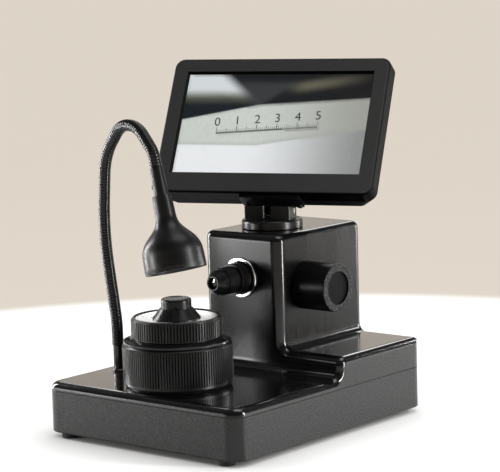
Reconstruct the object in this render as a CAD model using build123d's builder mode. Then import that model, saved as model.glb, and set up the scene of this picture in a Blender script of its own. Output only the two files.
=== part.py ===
"""Desktop LCD inscription microscope: a horizontal microscope with a tilting screen,
a turning and lifting specimen stage, a focusing objective and a gooseneck lamp.

Frame: origin at the centre of the base footprint on the table, +Z up, +X to the
right of someone who faces the stage, -Y towards them. Lengths in mm, angles in degrees.
"""
from build123d import *
from math import acos, cos, pi, radians, sin, tan
import os

os.makedirs("parts", exist_ok=True)

# ------------------------------------------------------------------ driving dimensions
# Clearances
running_gap = 0.05          # radial, shaft in its bore
slip_gap = 0.30             # between pieces that move past each other
seat_gap = 0.05             # between fixed pieces that are pushed together

# Base and cover
base_width = 189.0
base_depth = 226.0
base_corner_radius = 12.0
foot_height = 4.0
foot_radius = 6.2
foot_side_inset = 17.0
foot_end_inset = 8.0
foot_stud = 0.8
deck_height = 42.3
footing_height = 58.9
column_front = 8.1
column_width = 75.0
column_height = 146.2
wall = 2.5
column_wall = 3.0
tray_floor = 3.0
edge_radius = 5.7           # rounding round the deck and along the footing
front_edge_radius = 8.0     # column's front corners, carried on along the footing
rear_edge_radius = 8.0      # column's rear corners, carried on along the footing
blend_radius = 6.0          # hollow blend from the column down on to the footing
step_radius = 8.0           # hollow blend from the footing down on to the deck
foot_rounding = 1.5         # under edge of the tray
seam_band = 0.5             # upright band between the deck's rounding and the seam
seam_chamfer = 0.35
lip_height = 2.5
lip_thickness = 1.4
boss_radius = 4.5
boss_inset = 14.0
boss_end_inset = 26.0       # clear of the rubber feet
case_screw_radius = 1.5
case_screw_head_radius = 3.0
case_screw_head_height = 2.2
case_screw_sink = 16.0
case_screw_grip = 3.4

# Electronics in the base
board_width = 120.0
board_depth = 78.0
board_thickness = 1.6
board_standoff = 3.0
board_rear_gap = 3.0
board_screw_radius = 1.2
board_screw_inset = 4.0
inlet_inset = 12.0          # from the board's left edge
inlet_bore_radius = 2.75
inlet_wall = 1.6
inlet_pin_radius = 1.0
inlet_width = 10.0
inlet_height = 11.0
inlet_depth = 14.0
inlet_bore_depth = 8.0

# Stage, on a vertical axis in front of the objective
stage_y = -67.0
guide_flange_radius = 30.0
guide_flange_height = 3.0
guide_outer_radius = 20.0
guide_wall = 3.0
guide_height = 31.0
key_width = 4.0
key_length = 12.0
lift_ring_radius = 41.0
lift_ring_height = 32.3
lift_ring_ribs = 120
lift_ring_rib_depth = 0.7
lift_ring_foot_chamfer = 2.6
thread_radius = 33.0
thread_length = 20.0
thread_pitch = 3.0
lift_flange_height = 3.7
lift_flange_radius = 40.0
lift_flange_crown = 35.0
turn_ring_radius = 34.0
turn_ring_height = 15.1
turn_ring_ribs = 90
turn_ring_rib_depth = 0.8
turn_ring_wall = 2.6
turn_ring_floor = 2.5
spindle_radius = 8.0
clip_groove = 1.2
stage_plate_radius = 30.8
stage_plate_thickness = 2.0
stage_plate_drop = 0.9
stage_plate_dish = 1.1
holder_base_radius = 17.9
holder_neck_radius = 12.3
holder_height = 7.9
cup_radius = 11.3
cup_height = 7.4
cup_rim = 2.0
cup_dish_depth = 1.2
clip_width = 5.0
clip_thickness = 1.6
clip_angles = (-50.0, 130.0)

# Objective, on a horizontal axis towards the viewer
objective_height = 112.1
objective_reach = 33.5
nose_rim_radius = 5.6       # at the tip
nose_radius = 9.4
nose_cone_length = 5.0
nose_length = 9.2
nose_spigot = 6.0
aperture_radius = 4.6
lens_radius = 5.4
lens_holder_wall = 1.6
front_barrel_radius = 10.4
front_barrel_length = 11.8
collar_ring_radius = 12.4
collar_ring_length = 1.4
sleeve_radius = 12.2
sleeve_rear = 20.0          # behind the datum plane y = 0
sleeve_bore_radius = 10.4
escutcheon_radius = 15.5
escutcheon_bore_radius = 13.0
escutcheon_proud = 1.5
rib_pitch = 1.5
rib_depth = 0.45

# Focus drive
knob_y = 40.7
knob_drop = 7.2             # knob's axis below the objective's
knob_radius = 18.4
knob_length = 30.7
knob_rim = 5.6
knob_recess = 1.3
knob_cap_thickness = 1.4
focus_shaft_radius = 2.5
bush_radius = 5.0
bush_flange_radius = 7.5
bush_flange_thickness = 1.5
gear_module = 0.6
pinion_teeth = 16
gear_backlash = 0.14
pinion_width = 7.0
bearing_x = 12.0
bearing_radius = 5.0
rack_width = 6.0
rack_back = 2.0
rack_length = 28.0
frame_half_width = 26.0
frame_plate = 3.0
frame_rear = 77.0
frame_floor_drop = 16.9     # under the knob's axis
frame_head = 8.0            # above the rods
frame_screw_rise = 3.6
frame_screw_bite = 2.0
guide_rod_radius = 2.0
guide_rod_x = 18.0
guide_rod_rise = 5.9        # above the objective's axis
rod_boss_wall = 2.0
rod_boss_length = 12.0
carriage_plate = 4.0
carriage_height = 27.0
carriage_rise = 1.0
carriage_arm = 4.0
sensor_side = 13.0

# Screen mounting
swivel_y = 47.5
swivel_collar_radius = 23.7
swivel_collar_height = 7.0
swivel_stem_radius = 6.0
swivel_stem_length = 20.0
swivel_nut_height = 4.5
washer_thickness = 1.0
post_width = 37.4
post_front = 11.4
post_slot_depth = 5.0       # slot down the front of the post
post_slot_chamfer = 0.7
post_top_radius = 4.8
tilt_pin_rise = 12.9        # above the column's top
tilt_pin_radius = 2.0
tongue_radius = 3.6
tongue_thickness = 4.4
bracket_width = 50.0
bracket_depth = 17.0
bracket_thickness = 2.2
bracket_overhang = 4.6      # behind the tilt pin
bracket_screw_place = -1.8  # ahead of the tilt pin
bracket_screw_inset = 3.4

# Screen
screen_yaw = 19.17
screen_tilt = 31.13
display_width = 154.08
display_height = 85.92
bezel_side = 13.3
bezel_top = 13.0
bezel_bottom = 17.7
screen_corner_radius = 8.0
screen_depth = 24.4
bezel_depth = 14.0
bezel_skin = 1.6
bezel_rounding = 2.4
shell_side_taper = 9.0
screen_wall = 2.2
display_sink = 1.2
glass_thickness = 1.1
panel_thickness = 3.4
panel_margin = 4.0
screen_front_ahead_of_pin = 17.4
screen_bottom_above_pin = 7.36
screen_side_offset = -5.9
screen_screw_radius = 1.3
screen_pillar_radius = 3.2
screen_screw_inset = 11.0   # from the display's sides
screen_screw_low = 3.0      # below the display
screen_screw_high = 9.0     # below the display's top
driver_board_width = 90.0
driver_board_height = 52.0
driver_board_back = 6.0
driver_post_radius = 2.6
vent_slots = 12
vent_pitch = 5.0
vent_length = 22.0
vent_width = 2.0
vent_rise = 26.0

# Lamp arm and lamp
arm_x = -74.0
arm_y = -53.1
arm_stem_radius = 3.75
arm_stem_height = 20.6
arm_thread_length = 8.5
arm_nut_height = 4.0
arm_flange_radius = 5.2
gooseneck_radius = 4.6
gooseneck_reach = 56.6
gooseneck_end_height = 203.3
neck_straight = 17.0        # first run, straight up out of the stem
bow_out = 13.0              # the arm bows away from the lamp
bow_drop = 53.3             # below the gooseneck's end
shoulder_out = 7.4
shoulder_rise = 5.0         # above the gooseneck's end
crown_rise = 29.5
crown_start = 41.9          # short of the lamp
crown_end = 21.5
neck_run_in = 11.3          # last run, along the lamp's axis
bend_share = 0.45           # of the shorter run, taken by each bend
lamp_axis_lean = 15.0
lamp_top_radius = 4.9
ferrule_length = 21.4
ferrule_end_radius = 5.5
ferrule_spigot = 6.0
bell_length = 56.8
bell_neck_radius = 7.25
bell_radius = 23.1
bell_wall = 1.8
bell_neck_length = 15.4
bell_flare_length = 13.0
bell_shoulder_length = 14.5
groove_insets = (7.6, 4.6)  # up from the bell's mouth
groove_width = 0.7
led_ring_radius = 12.0
led_side = 3.2
lens_thickness = 1.5
lens_sink = 2.5
switch_radius = 2.3
switch_place = 14.0         # down the lamp's axis from the gooseneck's end
switch_proud = 2.6
switch_depth = 2.0

# ------------------------------------------------------------------ derived places
base_front = -base_depth / 2
base_back = base_depth / 2
base_side = base_width / 2
column_side = column_width / 2
column_length = base_back - column_front
seam_height = deck_height - edge_radius - seam_band
knob_height = objective_height - knob_drop
guide_rod_height = objective_height + guide_rod_rise
frame_floor_height = knob_height - frame_floor_drop
tilt_pin_height = column_height + tilt_pin_rise
stage_axis = (0, stage_y)
objective_axis = Plane(origin=(0, 0, objective_height), x_dir=(1, 0, 0), z_dir=(0, -1, 0))
knob_axis = Plane(origin=(column_side, knob_y, knob_height), x_dir=(0, 1, 0), z_dir=(1, 0, 0))
boss_points = [(sx * (base_side - boss_inset), y) for sx in (-1, 1)
               for y in (base_front + boss_end_inset, 0, base_back - boss_end_inset)]
foot_points = [(sx * (base_side - foot_side_inset), sy * (base_back - foot_end_inset))
               for sx in (-1, 1) for sy in (-1, 1)]

board_y = base_back - wall - board_rear_gap - board_depth / 2
board_bottom = foot_height + tray_floor + board_standoff
inlet_x = inlet_inset - board_width / 2
board_points = [(sx * (board_width / 2 - board_screw_inset),
                 board_y + sy * (board_depth / 2 - board_screw_inset))
                for sx in (-1, 1) for sy in (-1, 1)]
inlet_axis_height = board_bottom + board_thickness + inlet_height / 2
inlet_face = Plane(origin=(inlet_x, base_back, inlet_axis_height), x_dir=(1, 0, 0), z_dir=(0, 1, 0))
guide_screw_circle = (guide_flange_radius + guide_outer_radius) / 2
guide_screw_points = [(guide_screw_circle * cos(radians(a)), stage_y + guide_screw_circle * sin(radians(a)))
                      for a in (45, 135, 225, 315)]
driver_board_points = [(sx * (driver_board_width / 2 - board_screw_inset),
                        sy * (driver_board_height / 2 - board_screw_inset))
                       for sx in (-1, 1) for sy in (-1, 1)]
bracket_screw_points = [(sx * (bracket_width / 2 - bracket_screw_inset), bracket_screw_place)
                        for sx in (-1, 1)]
screen_screw_points = [(sx * (display_width / 2 - screen_screw_inset), y) for sx in (-1, 1)
                       for y in (-display_height / 2 - screen_screw_low,
                                 display_height / 2 - screen_screw_high)]
spigot_radius = lens_radius + lens_holder_wall
frame_screw_points = [(x, frame_floor_height + frame_plate + frame_screw_rise)
                      for x in (-frame_half_width + 4, -9, 9, frame_half_width - 4)]
sleeve_web_bottom = deck_height + guide_height + slip_gap
clip_groove_top = sleeve_web_bottom - slip_gap
spindle_bottom = clip_groove_top - clip_groove - 1.0


def save(piece, name):
    """Label a finished piece and write it as one STEP file."""
    piece.part.label = name
    export_step(piece.part, "parts/" + name + ".step")


# ------------------------------------------------------------------ upper cover
# Most skilled form: one moulding whose deck, footing and column run into one another
# through hollow blends while the outer edges stay evenly rounded.
with BuildPart() as upper_cover:
    with BuildSketch(Plane.YZ):
        with BuildLine():
            Polyline((base_front, seam_height), (base_front, deck_height),
                     (column_front, deck_height), (column_front, footing_height),
                     (base_back, footing_height), (base_back, seam_height), close=True)
        make_face()
    extrude(amount=base_side, both=True)
    with BuildSketch(Plane.XY.offset(deck_height)):
        with Locations((0, column_front + column_length / 2)):
            Rectangle(column_width, column_length)
    extrude(amount=column_height - deck_height)
    column_foot = (upper_cover.edges().filter_by(Axis.Y)
                   .filter_by_position(Axis.Z, footing_height - 0.1, footing_height + 0.1)
                   .filter_by_position(Axis.X, -column_side - 0.1, column_side + 0.1))
    fillet(column_foot, blend_radius)
    deck_step = (upper_cover.edges().filter_by(Axis.X)
                 .filter_by_position(Axis.Z, deck_height - 0.1, deck_height + 0.1)
                 .filter_by_position(Axis.Y, column_front - 0.1, column_front + 0.1))
    fillet(deck_step, step_radius)
    # the front and rear outlines of footing and column are each rounded in one run
    for outline_y, outline_radius in ((column_front, front_edge_radius), (base_back, rear_edge_radius)):
        outline = (upper_cover.edges()
                   .filter_by_position(Axis.Y, outline_y - 0.01, outline_y + 0.01)
                   .filter_by_position(Axis.Z, footing_height - 0.1, column_height - 1))
        fillet(outline, outline_radius)
    front_posts = (upper_cover.edges().filter_by(Axis.Z)
                   .filter_by_position(Axis.Y, base_front - 0.1, base_front + 0.1))
    fillet(front_posts, base_corner_radius)
    side_outline = (upper_cover.edges()
                    .filter_by_position(Axis.Z, seam_height + 1, footing_height + 0.1)
                    .filter_by_position(Axis.Y, base_front + 20, base_back - 0.1))
    side_outline = [e for e in side_outline if abs(abs(e.center().X) - base_side) < 0.01]
    fillet(side_outline, edge_radius)
    fillet(upper_cover.faces().sort_by(Axis.Z)[-1].edges(), edge_radius)
    with BuildSketch(Plane.XY.offset(seam_height)):
        RectangleRounded(base_width, base_depth, base_corner_radius)
    extrude(amount=column_height, mode=Mode.INTERSECT)
    # hollow: deck, footing and column each keep their own wall
    with BuildSketch(Plane.XY.offset(seam_height)):
        RectangleRounded(base_width - 2 * wall, base_depth - 2 * wall, base_corner_radius - wall)
    extrude(amount=deck_height - wall - seam_height, mode=Mode.SUBTRACT)
    with BuildSketch(Plane.XY.offset(seam_height)):
        with Locations((0, column_front + column_length / 2)):
            RectangleRounded(base_width - 2 * wall, column_length - 2 * column_wall, 6)
    extrude(amount=footing_height - wall - seam_height, mode=Mode.SUBTRACT)
    with BuildSketch(Plane.XY.offset(seam_height)):
        with Locations((0, column_front + column_length / 2)):
            RectangleRounded(column_width - 2 * column_wall, column_length - 2 * column_wall, 5)
    extrude(amount=column_height - column_wall - seam_height, mode=Mode.SUBTRACT)
    # screw bosses hang from the deck and the footing
    with BuildSketch(Plane.XY.offset(seam_height + slip_gap)):
        with Locations(*boss_points):
            Circle(boss_radius)
    extrude(until=Until.NEXT)
    with BuildSketch(Plane.XY.offset(seam_height)):
        with Locations(*boss_points):
            Circle(case_screw_radius)
    extrude(amount=case_screw_grip + 1, mode=Mode.SUBTRACT)
    # openings for the objective, the focus bush, the screen's stem and the lamp's stem
    with BuildSketch(objective_axis):
        Circle(escutcheon_bore_radius)
    extrude(amount=-(column_front + column_wall + 1), mode=Mode.SUBTRACT)
    with BuildSketch(knob_axis):
        Circle(bush_radius + seat_gap)
    extrude(amount=-(column_wall + 1), mode=Mode.SUBTRACT)
    with BuildSketch(Plane.XY.offset(column_height + 1)):
        with Locations((0, swivel_y)):
            Circle(swivel_stem_radius + running_gap)
    extrude(amount=-(column_wall + 2), mode=Mode.SUBTRACT)
    with BuildSketch(Plane.XY.offset(deck_height + 1)):
        with Locations((arm_x, arm_y)):
            Circle(arm_stem_radius + running_gap)
    extrude(amount=-(wall + 2), mode=Mode.SUBTRACT)
    with BuildSketch(Plane.XY.offset(deck_height + 1)):
        with Locations(*guide_screw_points):
            Circle(case_screw_radius)
    extrude(amount=-(wall + 2), mode=Mode.SUBTRACT)
    with BuildSketch(Plane.XZ.offset(-column_front - column_wall)):
        with Locations(*frame_screw_points):
            Circle(case_screw_radius)
    extrude(amount=frame_screw_bite + seat_gap, mode=Mode.SUBTRACT)
save(upper_cover, "upper_cover")

# ------------------------------------------------------------------ lower tray
with BuildPart() as lower_tray:
    with BuildSketch(Plane.XY.offset(foot_height)):
        RectangleRounded(base_width, base_depth, base_corner_radius)
    extrude(amount=seam_height - foot_height)
    fillet(lower_tray.faces().sort_by(Axis.Z)[0].edges(), foot_rounding)
    chamfer(lower_tray.faces().sort_by(Axis.Z)[-1].edges(), seam_chamfer)
    with BuildSketch(Plane.XY.offset(foot_height + tray_floor)):
        RectangleRounded(base_width - 2 * wall, base_depth - 2 * wall, base_corner_radius - wall)
    extrude(amount=seam_height, mode=Mode.SUBTRACT)
    # a lip rises inside the cover and keeps the seam in line
    with BuildSketch(Plane.XY.offset(seam_height - 3)):
        RectangleRounded(base_width - 2 * wall, base_depth - 2 * wall, base_corner_radius - wall)
        offset(amount=-slip_gap - lip_thickness, kind=Kind.INTERSECTION, mode=Mode.SUBTRACT)
    extrude(amount=2)
    with BuildSketch(Plane.XY.offset(seam_height - 1)):
        RectangleRounded(base_width - 2 * wall - 2 * slip_gap, base_depth - 2 * wall - 2 * slip_gap,
                         base_corner_radius - wall - slip_gap)
        offset(amount=-lip_thickness, kind=Kind.INTERSECTION, mode=Mode.SUBTRACT)
    extrude(amount=1 + lip_height)
    # screw pillars, bored right through and counterbored from below
    with BuildSketch(Plane.XY.offset(foot_height)):
        with Locations(*boss_points):
            Circle(boss_radius)
    extrude(amount=seam_height - foot_height)
    with BuildSketch(Plane.XY.offset(foot_height)):
        with Locations(*boss_points):
            Circle(case_screw_radius + seat_gap)
    extrude(amount=seam_height, mode=Mode.SUBTRACT)
    with BuildSketch(Plane.XY.offset(foot_height)):
        with Locations(*boss_points):
            Circle(case_screw_head_radius + seat_gap)
    extrude(amount=case_screw_sink, mode=Mode.SUBTRACT)
    # standoffs for the circuit board
    with BuildSketch(Plane.XY.offset(foot_height)):
        with Locations(*board_points):
            Circle(board_screw_radius * 2.5)
    extrude(amount=tray_floor + board_standoff)
    with BuildSketch(Plane.XY.offset(board_bottom)):
        with Locations(*board_points):
            Circle(board_screw_radius)
    extrude(amount=-board_standoff, mode=Mode.SUBTRACT)
    # seats for the feet, and the round window for the power inlet
    with BuildSketch(Plane.XY.offset(foot_height)):
        with Locations(*foot_points):
            Circle(foot_radius + seat_gap)
    extrude(amount=foot_stud, mode=Mode.SUBTRACT)
    with BuildSketch(inlet_face):
        Circle(inlet_bore_radius + inlet_wall)
    extrude(amount=-wall - 1, mode=Mode.SUBTRACT)
save(lower_tray, "lower_tray")

with BuildPart() as rubber_feet:
    with BuildSketch():
        with Locations(*foot_points):
            Circle(foot_radius)
    extrude(amount=foot_height + foot_stud)
    chamfer(rubber_feet.edges().group_by(Axis.Z)[0], 0.6)
save(rubber_feet, "rubber_feet")

screw_seat = foot_height + case_screw_sink
with BuildPart() as case_screws:
    with BuildSketch(Plane.XY.offset(screw_seat - case_screw_head_height)):
        with Locations(*boss_points):
            Circle(case_screw_head_radius)
    extrude(amount=case_screw_head_height)
    with BuildSketch(Plane.XY.offset(screw_seat)):
        with Locations(*boss_points):
            Circle(case_screw_radius - seat_gap)
    extrude(amount=seam_height + case_screw_grip - screw_seat)
    with BuildSketch(Plane.XY.offset(screw_seat - case_screw_head_height)):
        with Locations(*boss_points):
            Rectangle(3.4, 0.9)
            Rectangle(0.9, 3.4)
    extrude(amount=1.2, mode=Mode.SUBTRACT)
save(case_screws, "case_screws")

# ------------------------------------------------------------------ electronics in the base
board_top = board_bottom + board_thickness
with BuildPart() as main_board:
    with BuildSketch(Plane.XY.offset(board_bottom)):
        with Locations((0, board_y)):
            Rectangle(board_width, board_depth)
        with Locations(*board_points):
            Circle(board_screw_radius + 0.2, mode=Mode.SUBTRACT)
    extrude(amount=board_thickness)
    with BuildSketch(Plane.XY.offset(board_top)):
        with Locations((board_width / 12, board_y + board_depth / 20)):
            Rectangle(15, 15)
        with Locations((-board_width / 6, board_y - board_depth / 8), (0, board_y - board_depth / 4)):
            Rectangle(9, 5)
    extrude(amount=1.2)
    with BuildSketch(Plane.XY.offset(board_top)):
        with Locations((board_width / 4, board_y - board_depth / 5),
                       (board_width / 2 - 17, board_y - board_depth / 5)):
            Circle(4)
    extrude(amount=9)
save(main_board, "main_board")

with BuildPart() as board_screws:
    with BuildSketch(Plane.XY.offset(board_bottom - board_standoff + 0.4)):
        with Locations(*board_points):
            Circle(board_screw_radius - seat_gap)
    extrude(amount=board_standoff + board_thickness - 0.4)
    with BuildSketch(Plane.XY.offset(board_top)):
        with Locations(*board_points):
            Circle(board_screw_radius * 1.9)
    extrude(amount=1.4)
save(board_screws, "board_screws")

with BuildPart() as power_inlet:
    with BuildSketch(inlet_face.offset(-wall)):
        Rectangle(inlet_width, inlet_height)
    extrude(amount=-inlet_depth)
    with BuildSketch(inlet_face.offset(-wall)):
        Circle(inlet_bore_radius + inlet_wall - seat_gap)
    extrude(amount=wall - 0.4)
    with BuildSketch(inlet_face):
        Circle(inlet_bore_radius)
        Circle(inlet_pin_radius, mode=Mode.SUBTRACT)
    extrude(amount=-(wall + inlet_bore_depth), mode=Mode.SUBTRACT)
save(power_inlet, "power_inlet")

# ------------------------------------------------------------------ stage
def knurl_sketch(radius, depth, count):
    """Round outline with evenly spaced V grooves, drawn on the current sketch."""
    Circle(radius)
    pitch = 2 * pi * radius / count
    with PolarLocations(radius, count):
        Polygon((-depth, 0), (0.2, -0.32 * pitch), (0.2, 0.32 * pitch), align=None,
                mode=Mode.SUBTRACT)


def ring_sketch(outer, inner):
    """Flat ring, drawn on the current sketch."""
    Circle(outer)
    Circle(inner, mode=Mode.SUBTRACT)


lift_ring_bottom = deck_height + slip_gap
lift_ring_top = lift_ring_bottom + lift_ring_height
flange_bottom = lift_ring_top + slip_gap
flange_top = flange_bottom + lift_flange_height
turn_bottom = flange_top + slip_gap
turn_top = turn_bottom + turn_ring_height

with BuildPart() as stage_guide:
    with BuildSketch(Plane.XY.offset(deck_height)):
        with Locations(stage_axis):
            ring_sketch(guide_flange_radius, guide_outer_radius - guide_wall)
    extrude(amount=guide_flange_height)
    with BuildSketch(Plane.XY.offset(deck_height)):
        with Locations(stage_axis):
            ring_sketch(guide_outer_radius, guide_outer_radius - guide_wall)
    extrude(amount=guide_height)
    with BuildSketch(Plane.XY.offset(deck_height + guide_flange_height + 5)):
        with Locations((0, stage_y - guide_outer_radius + guide_wall / 2)):
            Rectangle(key_width, guide_wall * 2)
    extrude(amount=guide_height, mode=Mode.SUBTRACT)
    with BuildSketch(Plane.XY.offset(deck_height)):
        with Locations(*guide_screw_points):
            Circle(case_screw_radius + seat_gap)
    extrude(amount=guide_flange_height, mode=Mode.SUBTRACT)
save(stage_guide, "stage_guide")

with BuildPart() as guide_screws:
    with BuildSketch(Plane.XY.offset(deck_height + guide_flange_height)):
        with Locations(*guide_screw_points):
            Circle(case_screw_head_radius)
    extrude(amount=case_screw_head_height)
    with BuildSketch(Plane.XY.offset(deck_height + guide_flange_height)):
        with Locations(*guide_screw_points):
            Circle(case_screw_radius - seat_gap)
    extrude(amount=-(guide_flange_height + wall + 2))
save(guide_screws, "guide_screws")

with BuildPart() as lift_ring:
    with BuildSketch(Plane.XY.offset(lift_ring_bottom)):
        with Locations(stage_axis):
            Circle(lift_ring_radius - 0.8)
    extrude(amount=lift_ring_height)
    chamfer(lift_ring.edges().group_by(Axis.Z)[0], lift_ring_foot_chamfer, 1.2)
    chamfer(lift_ring.edges().group_by(Axis.Z)[-1], 1.0)
    with BuildSketch(Plane.XY.offset(lift_ring_bottom + 4.6)):
        with Locations(stage_axis):
            knurl_sketch(lift_ring_radius, lift_ring_rib_depth, lift_ring_ribs)
    extrude(amount=lift_ring_height - 4.6 - 1.6)
    with BuildSketch(Plane.XY.offset(lift_ring_bottom)):
        with Locations(stage_axis):
            Circle(guide_flange_radius + slip_gap)
    extrude(amount=guide_flange_height, mode=Mode.SUBTRACT)
    with BuildSketch(Plane.XY.offset(lift_ring_bottom + guide_flange_height)):
        with Locations(stage_axis):
            Circle(thread_radius + slip_gap)
    extrude(amount=lift_ring_height, mode=Mode.SUBTRACT)
save(lift_ring, "lift_ring")

with BuildPart() as lift_sleeve:
    with BuildSketch(Plane.XZ.offset(-stage_y)):
        with BuildLine():
            Polyline((spindle_radius + running_gap, flange_top),
                     (lift_flange_crown, flange_top),
                     (lift_flange_radius - 0.9, flange_top - 1.5),
                     (lift_flange_radius, flange_top - 2.0),
                     (lift_flange_radius, flange_bottom + 0.6),
                     (lift_flange_radius - 0.8, flange_bottom),
                     (thread_radius, flange_bottom),
                     (thread_radius, flange_bottom - thread_length),
                     (guide_outer_radius + slip_gap, flange_bottom - thread_length),
                     (guide_outer_radius + slip_gap, sleeve_web_bottom),
                     (spindle_radius + running_gap, sleeve_web_bottom), close=True)
        make_face()
    revolve(axis=Axis((0, stage_y, 0), (0, 0, 1)))
    # shallow rounds stand for the lifting thread
    with BuildSketch(Plane.XZ.offset(-stage_y)):
        with Locations(*[(thread_radius, flange_bottom - thread_pitch * (i + 1)) for i in range(6)]):
            Rectangle(0.8, 1.0)
    revolve(axis=Axis((0, stage_y, 0), (0, 0, 1)), mode=Mode.SUBTRACT)
save(lift_sleeve, "lift_sleeve")

with BuildPart() as lift_key:
    with BuildSketch(Plane.XY.offset(flange_bottom - thread_length)):
        with Locations((0, stage_y - guide_outer_radius + guide_wall / 2)):
            Rectangle(key_width - 2 * slip_gap, guide_wall + slip_gap)
    extrude(amount=key_length)
save(lift_key, "lift_key")

with BuildPart() as turn_ring:
    with BuildSketch(Plane.XY.offset(turn_bottom)):
        with Locations(stage_axis):
            Circle(turn_ring_radius - 1.0)
    extrude(amount=turn_ring_height)
    with BuildSketch(Plane.XY.offset(turn_bottom + 0.8)):
        with Locations(stage_axis):
            knurl_sketch(turn_ring_radius, turn_ring_rib_depth, turn_ring_ribs)
    extrude(amount=turn_ring_height - 2.4)
    chamfer(turn_ring.faces().sort_by(Axis.Z)[-1].edges(), 0.5)
    with BuildSketch(Plane.XY.offset(turn_bottom + turn_ring_floor)):
        with Locations(stage_axis):
            Circle(turn_ring_radius - turn_ring_wall)
    extrude(amount=turn_ring_height, mode=Mode.SUBTRACT)
    # inner ledge carries the top plate, and the spindle hangs from the floor
    with BuildSketch(Plane.XY.offset(turn_bottom + turn_ring_floor)):
        with Locations(stage_axis):
            ring_sketch(turn_ring_radius - turn_ring_wall, turn_ring_radius - turn_ring_wall - 3)
    extrude(amount=turn_ring_height - turn_ring_floor - stage_plate_drop - stage_plate_thickness)
    with BuildSketch(Plane.XY.offset(turn_bottom)):
        with Locations(stage_axis):
            Circle(spindle_radius)
    extrude(amount=spindle_bottom - turn_bottom)
    with BuildSketch(Plane.XY.offset(clip_groove_top)):
        with Locations(stage_axis):
            ring_sketch(spindle_radius, spindle_radius - 1)
    extrude(amount=-clip_groove, mode=Mode.SUBTRACT)
save(turn_ring, "turn_ring")

with BuildPart() as spindle_clip:
    with BuildSketch(Plane.XY.offset(clip_groove_top - seat_gap)):
        with Locations(stage_axis):
            ring_sketch(spindle_radius + 2.5, spindle_radius - 1 + seat_gap)
    extrude(amount=-(clip_groove - 2 * seat_gap))
save(spindle_clip, "spindle_clip")

plate_top = turn_top - stage_plate_drop
with BuildPart() as stage_plate:
    with BuildSketch(Plane.XZ.offset(-stage_y)):
        with BuildLine():
            Polyline((0, plate_top - stage_plate_thickness),
                     (stage_plate_radius, plate_top - stage_plate_thickness),
                     (stage_plate_radius, plate_top - 0.3),
                     (stage_plate_radius - 0.3, plate_top),
                     (stage_plate_radius - 1.5, plate_top),
                     (holder_base_radius + 3, plate_top - stage_plate_dish),
                     (0, plate_top - stage_plate_dish), close=True)
        make_face()
    revolve(axis=Axis((0, stage_y, 0), (0, 0, 1)))
save(stage_plate, "stage_plate")

holder_bottom = plate_top - stage_plate_dish
holder_top = holder_bottom + holder_height
cup_top = holder_top + cup_height
with BuildPart() as specimen_holder:
    with BuildSketch(Plane.XZ.offset(-stage_y)):
        with BuildLine():
            Polyline((0, holder_bottom), (holder_base_radius, holder_bottom),
                     (holder_base_radius, holder_bottom + 0.8),
                     (holder_neck_radius, holder_top), (0, holder_top), close=True)
        make_face()
    revolve(axis=Axis((0, stage_y, 0), (0, 0, 1)))
save(specimen_holder, "specimen_holder")

cup_dish_radius = cup_radius - cup_rim - 0.4
dish_sphere = (cup_dish_radius ** 2 + cup_dish_depth ** 2) / (2 * cup_dish_depth)
with BuildPart() as specimen_cup:
    with BuildSketch(Plane.XY.offset(holder_top)):
        with Locations(stage_axis):
            Circle(cup_radius)
    extrude(amount=cup_height)
    fillet(specimen_cup.edges().group_by(Axis.Z)[-1], cup_rim)
    with Locations((0, stage_y, cup_top - cup_dish_depth + dish_sphere)):
        Sphere(dish_sphere, mode=Mode.SUBTRACT)
save(specimen_cup, "specimen_cup")

# two sprung clips lie along the cone, one on each side
with BuildPart() as holder_clips:
    for clip_angle in clip_angles:
        side = Plane(origin=(0, stage_y, 0), x_dir=(cos(radians(clip_angle)), sin(radians(clip_angle)), 0),
                     z_dir=(sin(radians(clip_angle)), -cos(radians(clip_angle)), 0))
        with BuildSketch(side):
            with BuildLine():
                Polyline((holder_base_radius + slip_gap, holder_bottom),
                         (holder_base_radius + slip_gap + clip_thickness, holder_bottom),
                         (holder_base_radius + slip_gap + clip_thickness, holder_bottom + 0.9),
                         (holder_neck_radius + slip_gap + clip_thickness, holder_top + 0.9),
                         (holder_neck_radius + slip_gap, holder_top + 0.4),
                         (holder_base_radius + slip_gap, holder_bottom + 0.8), close=True)
            make_face()
        extrude(amount=clip_width / 2, both=True)
save(holder_clips, "holder_clips")

# ------------------------------------------------------------------ objective
optical_axis = Axis((0, 0, objective_height), (0, 1, 0))


def turned_outline(points):
    """Closed outline of (distance along +Y, radius) points, ready to turn about the optical axis."""
    with BuildSketch(Plane.YZ) as outline:
        with BuildLine():
            Polyline(*[(y, objective_height + r) for y, r in points], close=True)
        make_face()
    return outline.sketch


tip = column_front - objective_reach
nose_end = tip + nose_length
front_end = nose_end + front_barrel_length
collar_end = front_end + collar_ring_length

with BuildPart() as escutcheon:
    with BuildSketch(objective_axis.offset(-column_front)):
        ring_sketch(escutcheon_radius, escutcheon_bore_radius)
    extrude(amount=escutcheon_proud)
    fillet(escutcheon.edges().group_by(Axis.Y)[0].sort_by(SortBy.RADIUS)[-1], 0.8)
save(escutcheon, "escutcheon")

with BuildPart() as objective_nose:
    revolve(turned_outline([(tip, aperture_radius), (tip, nose_rim_radius),
                            (tip + nose_cone_length, nose_radius), (nose_end - 0.5, nose_radius),
                            (nose_end, nose_radius - 0.5), (nose_end, spigot_radius),
                            (nose_end + nose_spigot, spigot_radius),
                            (nose_end + nose_spigot, lens_radius), (tip + 2.2, lens_radius),
                            (tip + 2.2, aperture_radius)]), axis=optical_axis)
save(objective_nose, "objective_nose")

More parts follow.
